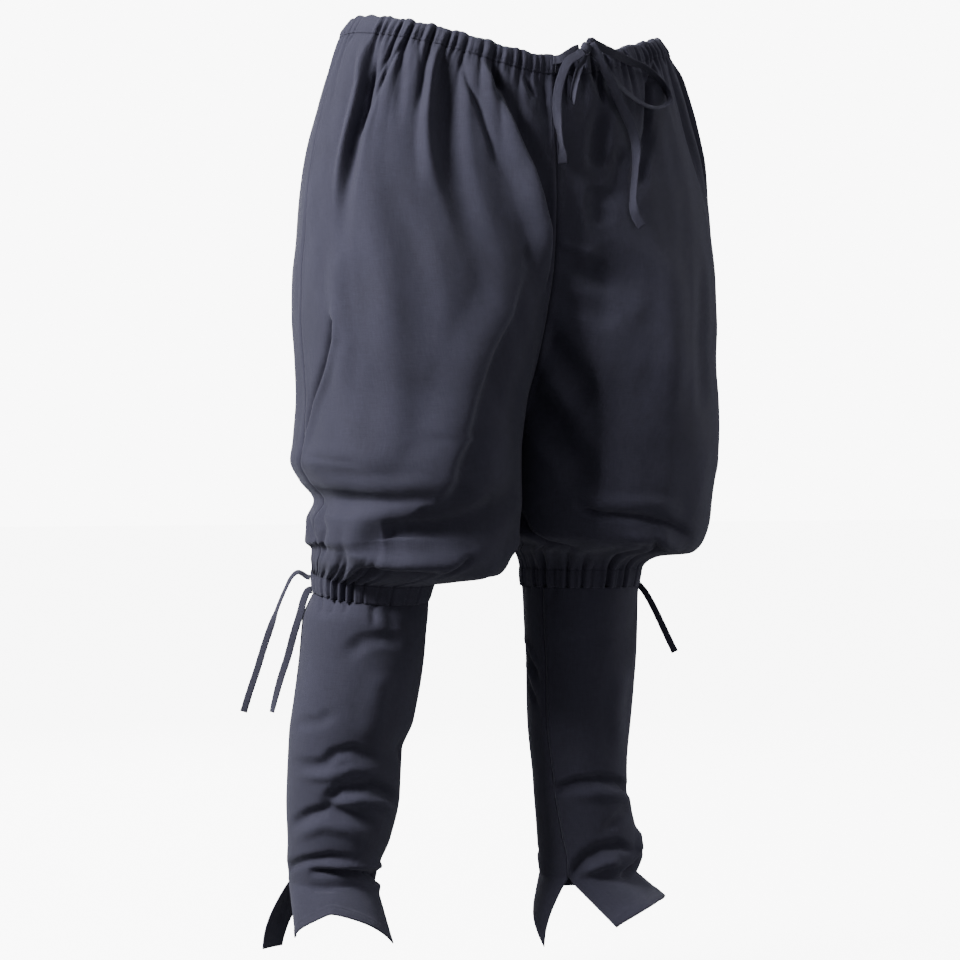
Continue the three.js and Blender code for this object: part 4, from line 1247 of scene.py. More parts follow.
@dataclass(frozen=True)
class CottonFinish:
    """Dyed plain-weave cotton, with painted shade darker in its fold valleys and creases."""

    name: str
    dark: tuple[float, float, float]
    light: tuple[float, float, float]
    thread: float = 0.0006
    slub: float = 0.5
    bump: float = 0.00016
    bump_strength: float = 0.7
    # How much the relief tints the cloth: painted shade in fold valleys and creases, paler ridges as worn
    # fading
    ridge_fade_crease_shade: float = 0.5
    specular: float = 0.22
    sheen: float = 0.22
    sheen_roughness: float = 0.45
    sheen_tint: tuple[float, float, float] = (0.72, 0.74, 0.9)

    def material(self) -> bpy.types.Material:
        """Builds the material.

        Returns:
            The material.
        """
        made, bench, shader = new_material(self.name)
        weave = bench.add("ShaderNodeGroup", node_tree=WeaveGroup().build())
        bench.feed(weave, {"Thread": self.thread, "Slub": self.slub})
        wear_and_shade = bench.add("ShaderNodeGroup", node_tree=WearAndCreaseShadeGroup().build())
        bench.feed(wear_and_shade, {"Ridge fade and crease shade": self.ridge_fade_crease_shade})
        # The tone brings the painted crease shade, with the cloth's own cloudy fading and lint
        faded_and_shaded = bench.math("MULTIPLY", wear_and_shade.outputs["Fade"], 0.6)
        shaded = bench.math("MULTIPLY", weave.outputs["Shade"], 0.4)
        ramp = bench.add("ShaderNodeValToRGB")
        shadow, highlight = ramp.color_ramp.elements
        shadow.position, highlight.position = 0.1, 0.9
        shadow.color, highlight.color = (*self.dark, 1.0), (*self.light, 1.0)
        bench.join(bench.math("ADD", faded_and_shaded, shaded, clamp=True), ramp.inputs["Fac"])
        bump = bench.add("ShaderNodeBump")
        bump_inputs = {"Strength": self.bump_strength, "Distance": self.bump}
        bench.feed(bump, {**bump_inputs, "Height": weave.outputs["Height"]})
        bench.feed(shader, {
            "Base Color": ramp.outputs["Color"],
            "Roughness": wear_and_shade.outputs["Roughness"],
            "Normal": bump.outputs["Normal"],
            "Specular IOR Level": self.specular,
            "Sheen Weight": self.sheen,
            "Sheen Roughness": self.sheen_roughness,
            "Sheen Tint": (*self.sheen_tint, 1.0),
        })
        return made


@dataclass(frozen=True)
class PaleFinish:
    """The studio's matt pale floor, which throws little light back onto the garment."""

    name: str = "pale floor"
    colour: tuple[float, float, float] = (0.86, 0.86, 0.86)
    shade: float = 0.97
    glow: float = 8.0
    bounce: float = 0.15

    def material(self) -> bpy.types.Material:
        """Builds the material, its paint slightly uneven.

        Returns:
            The material.
        """
        made, bench, shader = new_material(self.name)
        where = bench.add("ShaderNodeTexCoord").outputs["Object"]
        uneven = bench.noise(where, 1.5)
        ramp = bench.add("ShaderNodeValToRGB")
        ramp.color_ramp.elements[0].color = (*(c * self.shade for c in self.colour), 1.0)
        ramp.color_ramp.elements[1].color = (*self.colour, 1.0)
        bench.join(uneven, ramp.inputs["Fac"])
        seen = bench.add("ShaderNodeLightPath").outputs["Is Camera Ray"]
        dim = bench.add("ShaderNodeVectorMath", operation="SCALE")
        bench.join(ramp.outputs["Color"], dim.inputs[0])
        bench.join(bench.span(seen, 0.0, 1.0, self.bounce, 1.0), dim.inputs["Scale"])
        bench.feed(shader, {
            "Base Color": dim.outputs[0],
            "Roughness": bench.span(uneven, 0.3, 0.7, 0.8, 0.95),
            "Emission Color": (1.0, 1.0, 1.0, 1.0),
            "Emission Strength": bench.math("MULTIPLY", seen, self.glow),
        })
        return made


CLOTH_FINISH = CottonFinish("slate cotton", (0.034, 0.033, 0.052), (0.066, 0.065, 0.1))
TAPE_FINISH = CottonFinish(
    "cotton tape", (0.034, 0.033, 0.051), (0.07, 0.069, 0.104), thread=0.0005, slub=0.3, ridge_fade_crease_shade=0.2
)
THREAD_FINISH = CottonFinish(
    "sewing thread", (0.04, 0.039, 0.058), (0.08, 0.079, 0.116), thread=0.0004, slub=0.2, bump=0.00006
)


def dress(
    piece: bpy.types.Object, material: bpy.types.Material, slot: Slot, *nodes: str
) -> bpy.types.Object:
    """Finishes a piece and fixes it to the garment.

    Args:
        piece: The piece.
        material: Its material.
        slot: The material slot meant for the piece, which is not used.
        nodes: The CAD nodes that it stands for.

    Returns:
        The piece.
    """
    piece.data.materials.clear()
    piece.data.materials.append(material)
    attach(piece, BODY)
    if nodes:
        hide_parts(*nodes)
    LOG.info("%s: %d faces", piece.name, len(piece.data.polygons))
    return piece


# The garment


def seam_relief(distance: np.ndarray) -> np.ndarray:
    """The height beside a plain seam: a narrow groove, and the turned cloth under its near side."""
    return 0.45 * ridge(distance - 4.5, 3.0) - 0.75 * ridge(distance, 1.2)


def held_at_waist(down: np.ndarray) -> np.ndarray:
    """How much of a fold's height shows at a distance below the waist seam."""
    return 0.4 + 0.6 * smooth(0, 24, down)


def beside_seams(size: np.ndarray) -> np.ndarray:
    """How much of a casing's gathers shows at a distance from the outer seam."""
    return smooth(-2, 6, size) * smooth(-2, 6, PANEL_WIDTH - size)


@dataclass(frozen=True)
class Hem:
    """A turned edge: how wide it is turned, where its stitches run, its height and their groove's depth."""

    turned: float
    stitches: float
    height: float
    groove: float

    def relief(self, distance: np.ndarray) -> np.ndarray:
        """The height that it gives the cloth at distances from the edge."""
        step = self.height * (1 - smooth(self.turned, self.turned + HEM_SLOPE, distance))
        return step - self.groove * ridge(distance - self.stitches, STITCH_GROOVE)


ANKLE_HEM = Hem(8.0, 7.0, 0.7, 0.35)
VENT_HEM = Hem(6.0, 5.2, 0.5, 0.3)


class ClothPiece(ABC):
    """A sheet of cloth that stands for one CAD node."""

    name: str

    @abstractmethod
    def build(self) -> ClothGrid:
        """Lays out the sheet's grid."""

    @abstractmethod
    def declare(self, piece: bpy.types.Object) -> None:
        """A last step for a made sheet, which does nothing in every piece here."""

    def make(self, material: bpy.types.Material) -> bpy.types.Object:
        """Args:
            material: Its finish.

        Returns:
            The dressed object.
        """
        grid = self.build()
        piece = dress(cloth_object(f"{self.name}_cloth", grid), material, Slot.CLOTH, self.name)
        self.declare(piece)
        LOG.info("%s: %.4f square metres", self.name, sheet_area(grid))
        return piece


@dataclass
class BreechesPanel(ClothPiece):
    """The front or back half of one breeches leg."""

    form: LegForm
    face: Face
    columns: int = 176
    rows: int = 224
    flat: tuple[float, float] = (0.42, 0.68)
    cut_area: float = 0.262
    swell_below_waist: float = 50.0
    swell_above_knee: float = 30.0
    fold_above_knee: float = 14.0
    flat_by_outer: float = 7.0
    flat_by_inner: float = 10.0
    row_crowding: float = 0.45

    @property
    def name(self) -> str:
        """The name of the CAD node that it stands for."""
        return f"breeches_{self.face.value}_{self.form.side.value}"

    def relief(self, across: np.ndarray, down: np.ndarray) -> np.ndarray:
        """The cloth's height over the smooth form.

        Args:
            across: Signed places across.
            down: Places down.

        Returns:
            A height for each place, in millimetres.
        """
        side, key = self.form.side, (self.form.side, self.face)
        share, above_knee = np.abs(across), self.form.knee_seam - down
        puckers = WAIST_GATHERS[key].relief(share, down) + KNEE_GATHERS[key].relief(share, above_knee)
        swells = BREECHES_SWELLS[side].relief(across * PANEL_WIDTH, down)
        swells = swells * smooth(0, self.swell_below_waist, down)
        swells = swells * smooth(0, self.swell_above_knee, above_knee)
        folds = fold_relief(BREECHES_FOLDS[side], PANEL_WIDTH, across, down)
        folds = folds * held_at_waist(down) * smooth(-2, self.fold_above_knee, above_knee)
        outer_seam, inner_seam = share * PANEL_WIDTH, (1 - share) * PANEL_WIDTH
        off_inner = smooth(0, self.flat_by_inner, inner_seam)
        edges = smooth(0, self.flat_by_outer, outer_seam) * off_inner
        total = (puckers + swells) * edges + folds * off_inner
        return total + seam_relief(outer_seam) + seam_relief(inner_seam)

    def surface(self, across: np.ndarray, down: np.ndarray) -> Laid:
        """The outer side of the cloth.

        Args:
            across: Signed places across.
            down: Places down.

        Returns:
            The points, the outward directions and the relief.
        """
        normal = outward(self.form.point, across, down, self.form.side.sign, WAIST_LEVEL)
        relief = self.relief(across, down)
        return self.form.point(across, down) + normal * relief[..., None], normal, relief

    def keep_on_side(self, points: np.ndarray, across: np.ndarray, down: np.ndarray) -> np.ndarray:
        """Holds the centre seam off the midline, and opens the front slit.

        Args:
            points: Points of the cloth.
            across: Their places across.
            down: Their places down.

        Returns:
            The points, none over the midline.
        """
        opening = SLIT_HALF * (1 - smooth(0, SLIT_LENGTH, down)) if self.face is Face.FRONT else 0.0
        least = np.where(np.abs(across) > 0.5, opening, 0.0)
        sign = self.form.side.sign
        bare = self.form.point(across, down)[..., 0] * sign
        at_seam = (np.abs(across) > 1 - 1e-6) & (bare < 0.5)
        points[..., 0] = sign * np.where(at_seam, least, np.maximum(points[..., 0] * sign, least))
        return points

    def build(self) -> ClothGrid:
        """Lays out the panel's grid, its rows closer near both seams.

        Returns:
            The grid.
        """
        s = np.linspace(0, 1, self.rows)
        top, bottom = -TUCK, self.form.knee_seam + 2 * SEAM_GAP + 0.8 * TUCK
        down = top + (bottom - top) * (s - self.row_crowding * np.sin(2 * math.pi * s) / (2 * math.pi))
        across, down = np.meshgrid(self.face.sign * np.linspace(0, 1, self.columns), down)
        points, normal, relief = self.surface(across, down)
        outer = self.keep_on_side(points, across, down)
        inner = self.keep_on_side(points - normal * CLOTH, across, down)
        cloth = np.stack([across * PANEL_WIDTH, down], -1)
        return ClothGrid(outer, inner, cloth, relief)

    def declare(self, piece: bpy.types.Object) -> None:
        """Does nothing with the panel."""


@dataclass
class WaistCasing(ClothPiece):
    """The gathered strip round the waist, open at the front slit."""

    forms: dict[Side, LegForm]
    name: str = "waist_casing"
    columns: int = 300
    rows: int = 16
    flat: tuple[float, float] = (1.2, 0.027)
    stitches: float = 0.13
    stitch_groove: float = 1.1
    ruffle: float = 1.1
    ruffle_turn: float = 1.9 * 28
    lower_hollow: float = 1.85
    upper_hollow: float = 1.0

    def stations(self) -> tuple[np.ndarray, np.ndarray]:
        """The places from the right of the slit round to its left, and whether each is on the left."""
        right, left = np.linspace(1, -1, self.columns), np.linspace(-1, 1, self.columns)[1:]
        return np.concatenate([right, left]), np.arange(2 * self.columns - 1) >= self.columns

    def relief(self, across: np.ndarray, on_left: np.ndarray, share: np.ndarray) -> np.ndarray:
        """The strip's height over the smooth form.

        Args:
            across: Signed places across.
            on_left: Whether each is on the left.
            share: 0 at the strip's lower edge and 1 at its top.

        Returns:
            A height for each place, in millimetres.
        """
        puckers, large = np.zeros(share.shape), np.zeros(share.shape)
        at_seam = np.zeros_like(share)
        for (side, face), gathers in WAIST_GATHERS.items():
            here = (on_left == (side is Side.LEFT)) & ((across > 0) == (face is Face.FRONT))
            puckers = np.where(here, gathers.relief(np.abs(across), at_seam), puckers)
        for side in Side:
            folds = fold_relief(BREECHES_FOLDS[side], PANEL_WIDTH, across, at_seam)
            large = np.where(on_left == (side is Side.LEFT), folds, large)
        size = np.abs(across) * PANEL_WIDTH
        large = large * held_at_waist(0.0) * smooth(-1, 10, PANEL_WIDTH - size)
        large = large * (1 - 0.75 * smooth(0, 0.8, share))
        bulge = 0.6 + 0.4 * np.cos(math.pi * (share - 0.1))
        puckers = puckers * beside_seams(size) * bulge * (1 + 0.5 * smooth(0, 0.4, share))
        tunnel = 1.3 * np.sin(math.pi * np.clip(share * 1.04, 0, 1)) ** 0.6
        groove = -0.6 * ridge((share - self.stitches) * WAIST_CASING, self.stitch_groove)
        return CASING_PROUD + large + puckers + tunnel + groove - 1.1 * smooth(0.9, 1.0, share)

    def surface(self, across: np.ndarray, on_left: np.ndarray, share: np.ndarray) -> Laid:
        """The outer side of the strip.

        Args:
            across: Signed places across.
            on_left: Whether each is on the left.
            share: 0 at the lower edge and 1 at the top.

        Returns:
            The points, the outward directions and the relief.
        """
        down = -WAIST_CASING * share
        relief = self.relief(across, on_left, share)
        points, normal = np.zeros(relief.shape + (3,)), np.zeros(relief.shape + (3,))
        for side, form in self.forms.items():
            here = (on_left == (side is Side.LEFT))[..., None]
            toward = outward(form.point, across * 0.98, down, side.sign, WAIST_LEVEL)
            made = form.point(across, down) + toward * relief[..., None]
            points, normal = np.where(here, made, points), np.where(here, toward, normal)
        ruffle = self.ruffle * np.sin(self.ruffle_turn * across) + 0.6 * np.clip(relief - 1.5, -4.0, 1.0)
        points[..., 2] += ruffle * smooth(0.45, 1.0, share)
        return points, normal, relief

    def build(self) -> ClothGrid:
        """Lays out the strip's grid.

        Returns:
            The grid.
        """
        across, on_left = self.stations()
        share = np.linspace(0, 1, self.rows)[:, None] + 0.0 * across[None, :]
        across, on_left = np.broadcast_to(across, share.shape), np.broadcast_to(on_left, share.shape)
        points, normal, relief = self.surface(across, on_left, share)
        wall = CASING_WALL - self.lower_hollow * (1 - smooth(0.07, 0.14, share))
        wall = wall - self.upper_hollow * smooth(0.88, 1.0, share)
        inner = points - normal * wall[..., None]
        at_slit = np.zeros(across.shape, bool)
        at_slit[:, 0] = at_slit[:, -1] = True
        sign = np.where(on_left, 1.0, -1.0)
        for grid in (points, inner):
            x = grid[..., 0]
            grid[..., 0] = np.where(at_slit, sign * np.maximum(x * sign, CASING_SLIT_HALF), x)
        middle = self.columns - 1
        points[:, middle, 0] = inner[:, middle, 0] = 0.0
        cloth = np.stack([sign * (2 + across) * PANEL_WIDTH, -WAIST_CASING * share], -1)
        return ClothGrid(points, inner, cloth, relief)

    def declare(self, piece: bpy.types.Object) -> None:
        """Does nothing with the strip."""


@dataclass
class KneeCasing(ClothPiece):
    """The gathered ring below a knee that the breeches are drawn in by."""

    form: LegForm
    columns: int = 260
    rows: int = 14
    flat: tuple[float, float] = (0.5, 0.022)
    stitches: tuple[float, float] = (0.12, 0.88)
    stitch_groove: float = 1.0
    tie_swell: float = 1.1
    tie_reach: float = 16.0
    upper_hollow: float = 2.0

    @property
    def name(self) -> str:
        """The name of the CAD node that it stands for."""
        return f"knee_casing_{self.form.side.value}"

    def surface(self, across: np.ndarray, share: np.ndarray) -> Laid:
        """The outer side of the ring.

        Args:
            across: Signed places across.
            share: 0 at its upper edge and 1 at its lower one.

        Returns:
            The points, the outward directions and the relief.
        """
        start = self.form.knee_seam + 2 * SEAM_GAP
        down = start + share * (self.form.last - start)
        puckers = np.zeros(share.shape)
        for face in Face:
            gathers = KNEE_GATHERS[(self.form.side, face)]
            gathered = gathers.relief(np.abs(across), np.zeros_like(share))
            puckers = np.where((across > 0) == (face is Face.FRONT), gathered, puckers)
        size = np.abs(across) * PANEL_WIDTH
        puckers = puckers * beside_seams(size) * (1 + 0.25 * share)
        tunnel = 0.6 * np.sin(math.pi * share) ** 0.6
        below = [(share - place) * KNEE_CASING for place in self.stitches]
        grooves = -0.5 * sum(ridge(distance, self.stitch_groove) for distance in below)
        by_tie = self.tie_swell * ridge(size, self.tie_reach)
        relief = 0.6 * CASING_PROUD + puckers + tunnel + grooves + by_tie
        normal = outward(self.form.point, across, down, self.form.side.sign)
        return self.form.point(across, down) + normal * relief[..., None], normal, relief

    def build(self) -> ClothGrid:
        """Lays out the ring's grid.

        Returns:
            The grid.
        """
        across = -1 + 2 * np.arange(self.columns) / self.columns
        across, share = np.meshgrid(across, np.linspace(0, 1, self.rows))
        points, normal, relief = self.surface(across, share)
        cloth = np.stack([across * PANEL_WIDTH, share * KNEE_CASING], -1)
        wall = CASING_WALL - self.upper_hollow * (1 - smooth(0.075, 0.15, share))
        return ClothGrid(points, points - normal * wall[..., None], cloth, relief, is_ring=True)

    def declare(self, piece: bpy.types.Object) -> None:
        """Does nothing with the ring."""


@dataclass
class ShinPanel(ClothPiece):
    """The front or back half of one lower leg, with its ankle flap."""

    form: ShinForm
    face: Face
    columns: int = 78
    rows: int = 130
    flap_rows: int = 26
    flat: tuple[float, float] = (0.2, 0.4)
    cut_area: float = 0.076
    vent_blend: float = 4.0
    hem_reach: float = 20.0
    flat_by_seam: float = 6.0
    row_crowding: float = 1.15

    @property
    def name(self) -> str:
        """The name of the CAD node that it stands for."""
        return f"shin_{self.face.value}_{self.form.side.value}"

    def point(self, across: np.ndarray, down: np.ndarray) -> np.ndarray:
        """Places on this half of the smooth form."""
        return self.form.point(self.face, across, down)

    def hem_distance(self, across: np.ndarray, down: np.ndarray) -> np.ndarray:
        """Millimetres up from the flap's lower edge."""
        return (1 - (down - self.form.last) / FLAP_SPAN) * self.form.flap_length(self.face, across)

    def surface(self, across: np.ndarray, down: np.ndarray) -> Laid:
        """The outer side of the cloth.

        Args:
            across: Signed places across.
            down: Places down.

        Returns:
            The points, the outward directions and the relief.
        """
        side, last, share = self.form.side, self.form.last, np.abs(across)
        folds = fold_relief(SHIN_FOLDS[side], SHIN_WIDTH, across, down)
        puckers = SHIN_GATHERS[(side, self.face)].relief(share, down)
        swells = SHIN_SWELLS[side].relief(across * SHIN_WIDTH, down)
        outer_seam, inner_seam = share * SHIN_WIDTH, (1 - share) * SHIN_WIDTH
        above_vent = 1 - smooth(last - self.vent_blend, last + self.vent_blend, down)
        edges = smooth(0, self.flat_by_seam, outer_seam) * smooth(0, self.flat_by_seam, inner_seam)
        held = np.maximum(smooth(0, 8, inner_seam), 1 - above_vent)
        relief = (puckers + swells) * edges + folds * held
        relief = relief + (seam_relief(outer_seam) + seam_relief(inner_seam)) * above_vent
        hem = ANKLE_HEM.relief(self.hem_distance(across, down))
        # Above the vent, both seams count as too far away for the vent's hem to show
        vent = VENT_HEM.relief(np.minimum(outer_seam, inner_seam) + FLAP_SPAN * above_vent)
        near_hem = down > last - self.hem_reach
        relief = relief + np.where(near_hem, np.maximum(hem, vent * (1 - above_vent)), 0.0)
        normal = outward(self.point, across, down, side.sign)
        return self.point(across, down) + normal * relief[..., None], normal, relief

    def build(self) -> ClothGrid:
        """Lays out the panel's grid, its rows closer near its top.

        Returns:
            The grid.
        """
        tube = self.form.last * np.linspace(0, 1, self.rows) ** self.row_crowding
        flap = self.form.last + FLAP_SPAN * np.linspace(0, 1, self.flap_rows)[1:]
        across = self.face.sign * np.linspace(0, 1, self.columns)
        across, down = np.meshgrid(across, np.concatenate([tube, flap]))
        points, normal, relief = self.surface(across, down)
        cloth = np.stack([across * SHIN_WIDTH, down], -1)
        return ClothGrid(points, points - normal * CLOTH, cloth, relief)

    def declare(self, piece: bpy.types.Object) -> None:
        """Does nothing with the panel."""


@dataclass(frozen=True)
class Tie:
    """A flat tape: its path, the turns of its flat side from the front at shares of its length, and its end.

    Width and thick are the tape's as it lies, and diameter, the tape's as a cord, is not used. Length is in
    metres.
    """

    name: str
    path: tuple[tuple[float, float, float], ...]
    turns: tuple[tuple[float, float], ...]
    length: float
    far_end: str = "bare"
    width: float = 9.4
    diameter: float = 8.0
    thick: float = 2.0
    step: float = 1.6
    route_step: float = 4.0

    def centreline(self, steps: int) -> np.ndarray:
        """The tape's centreline, a centripetal curve through its path.

        Args:
            steps: How many equal steps it has.

        Returns:
            The points, in millimetres.
        """
        p = np.array(self.path, float)
        p = np.vstack([2 * p[0] - p[1], p, 2 * p[-1] - p[-2]])
        t = np.linspace(0, 1, 60, endpoint=False)[:, None]
        dense = []
        for i in range(1, len(p) - 2):
            a, b, c, d = p[i - 1], p[i], p[i + 1], p[i + 2]
            k0, k1, k2 = (math.sqrt(float(np.linalg.norm(v))) for v in (b - a, c - b, d - c))
            m1 = ((b - a) / k0 - (c - a) / (k0 + k1) + (c - b) / k1) * k1
            m2 = ((c - b) / k1 - (d - b) / (k1 + k2) + (d - c) / k2) * k1
            square, cube = -3 * b + 3 * c - 2 * m1 - m2, 2 * b - 2 * c + m1 + m2
            dense.append(b + m1 * t + square * t**2 + cube * t**3)
        line = np.vstack([*dense, p[-2][None, :]])
        run = run_along(line)
        return sample(np.linspace(0, run[-1], steps + 1), run, line)

    def section(self) -> tuple[np.ndarray, np.ndarray]:
        """The places round the tape's edge, which is thin where it is stitched.

        Returns:
            Their shares of its half width and of its half thickness.
        """
        corner = np.linspace(0, 2 * math.pi, 21)[:-1] + 0.1
        w = np.sign(np.cos(corner)) * np.abs(np.cos(corner)) ** 0.55
        t = np.sign(np.sin(corner)) * np.abs(np.sin(corner)) ** 0.7
        return w, t * (0.8 + 0.2 * w**2) * np.where(np.abs(w - 0.62) < 0.1, 0.72, 1.0)

    def make(self, material: bpy.types.Material) -> bpy.types.Object:
        """Makes and dresses the tape, folded in from both long edges and stitched near one.

        Args:
            material: Its finish.

        Returns:
            The dressed object.
        """
        steps = max(24, int(self.length / MM / self.step))
        centres = self.centreline(steps)
        tangents = np.gradient(centres, axis=0)
        tangents /= np.linalg.norm(tangents, axis=1, keepdims=True)
        front = np.array(TAPE_FRONT, float)
        facing = front
        w, t = self.section()
        points = []
        for i, (centre, tangent) in enumerate(zip(centres, tangents)):
            if abs(tangent @ front) < 0.8:
                facing = front if facing @ front >= 0 else -front
            facing = facing - tangent * (facing @ tangent)
            facing /= np.linalg.norm(facing)
            turn = math.radians(np.interp(i / steps, *zip(*self.turns)))
            turned = facing * math.cos(turn) + np.cross(tangent, facing) * math.sin(turn)
            sideways = np.cross(tangent, turned)
            end = min(i, steps - i)
            slim = 1.0 if end > 1 else (0.97, 0.995)[end]
            ripple = 1 + 0.03 * math.sin(0.9 * i) * math.sin(0.23 * i + 1)
            edge = w[:, None] * sideways * self.width / 2 + t[:, None] * turned * self.thick / 2
            points.append(centre + slim * ripple * edge)
        points = np.concatenate(points)
        around = np.tile(w * self.width, steps + 1)
        along = np.repeat(np.arange(steps + 1) * self.length / MM / steps, len(w))
        cloth = np.stack([around, along], -1)
        faces = tube_faces(steps, len(w))
        piece = make_mesh(f"{self.name}_tape", points, faces, cloth, np.zeros(len(points)))
        return dress(piece, material, Slot.TAPE, self.name)

    def declare(self, piece: bpy.types.Object, with_pieces: tuple[bpy.types.Object, ...] = ()) -> None:
        """Does nothing with the tape."""


@dataclass
class Knot:
    """The knot of the waist bow: a drawn-in core and the band of tape wrapped over it."""

    centre: tuple[float, float, float] = (31.0, -126.5, -39.0)
    half: tuple[float, float, float] = (7.0, 5.5, 7.0)
    lean: float = 28.0
    core: float = 0.86
    band: float = 0.12
    largest: float = 0.99

    def make(self, material: bpy.types.Material) -> bpy.types.Object:
        """Makes and dresses the knot.

        Args:
            material: Its finish.

        Returns:
            The dressed object.
        """
        u, v = np.meshgrid(np.linspace(0, 2 * math.pi, 65)[:-1], np.linspace(0, math.pi, 34))
        x, y, z = np.sin(v) * np.cos(u), np.sin(v) * np.sin(u), np.cos(v)
        lean = math.radians(self.lean)
        across = x * math.cos(lean) + z * math.sin(lean)
        band = 1 - smooth(0.42, 0.6, np.abs(across))
        edge = 0.07 * ridge(np.abs(across) - 0.5, 0.07)
        crease = 0.06 * np.sin(9 * across + 1.3) * band + 0.05 * np.sin(5 * u + 3 * z) * (1 - band)
        radius = np.minimum(self.core + self.band * band - edge + crease, self.largest)
        points = np.stack([x, y, z], -1) * radius[..., None] * self.half + self.centre
        rows, n = points.shape[:2]
        faces = [[a, d, c, b] for a, b, c, d in tube_faces(rows - 1, n, capped=False)]
        cloth = np.stack([across * 8, u * 6], -1).reshape(-1, 2)
        piece = make_mesh("waist_tie_knot_tape", points.reshape(-1, 3), faces, cloth, np.zeros(rows * n))
        return dress(piece, material, Slot.TAPE, "waist_tie_knot")


@dataclass
class StitchRows:
    """Rows of machine stitches, each a short length of thread lying on the cloth."""

    name: str
    pitch: float = 3.6
    long: float = 2.6
    radius: float = 0.3
    lift: float = 0.08
    corners: int = 6
    rings: tuple[tuple[float, float], ...] = ((-0.5, 0.15), (-0.3, 0.95), (0.3, 0.95), (0.5, 0.15))
    lines: list[tuple[np.ndarray, np.ndarray]] = field(default_factory=list)

    def follow(self, points: np.ndarray, normals: np.ndarray) -> None:
        """Adds a row along points of the cloth."""
        self.lines.append((points, normals))

    def stitch(
        self, at: float, run: np.ndarray, points: np.ndarray, normals: np.ndarray
    ) -> list[np.ndarray]:
        """Lays one stitch.

        Args:
            at: How far along its row it lies.
            run: How far along the row each of the row's points is.
            points: The row's points.
            normals: The outward directions there.

        Returns:
            Its rings of points.
        """
        section = np.linspace(0, 2 * math.pi, self.corners + 1)[:-1]
        before, after = sample(at - 1, run, points), sample(at + 1, run, points)
        along = (after - before) / np.linalg.norm(after - before)
        side = np.cross(along, sample(at, run, normals))
        side /= np.linalg.norm(side)
        up = np.cross(side, along)
        base = sample(at, run, points) + up * self.lift
        circle = np.cos(section)[:, None] * side + np.sin(section)[:, None] * up
        rings = ((along * place * self.long, self.radius * size * circle) for place, size in self.rings)
        return [base + shift + ring for shift, ring in rings]

    def make(self, material: bpy.types.Material) -> bpy.types.Object:
        """Makes and dresses all the rows as one piece.

        Args:
            material: Its finish.

        Returns:
            The dressed object.
        """
        rings, faces = [], []
        for points, normals in self.lines:
            run = run_along(points)
            for at in np.arange(self.pitch, run[-1] - self.pitch / 2, self.pitch):
                faces += tube_faces(len(self.rings) - 1, self.corners, start=len(rings) * self.corners)
                rings += self.stitch(at, run, points, normals)
        points = np.concatenate(rings)
        piece = make_mesh(self.name, points, faces, points[:, [0, 2]], np.zeros(len(points)))
        return dress(piece, material, Slot.CLOTH)


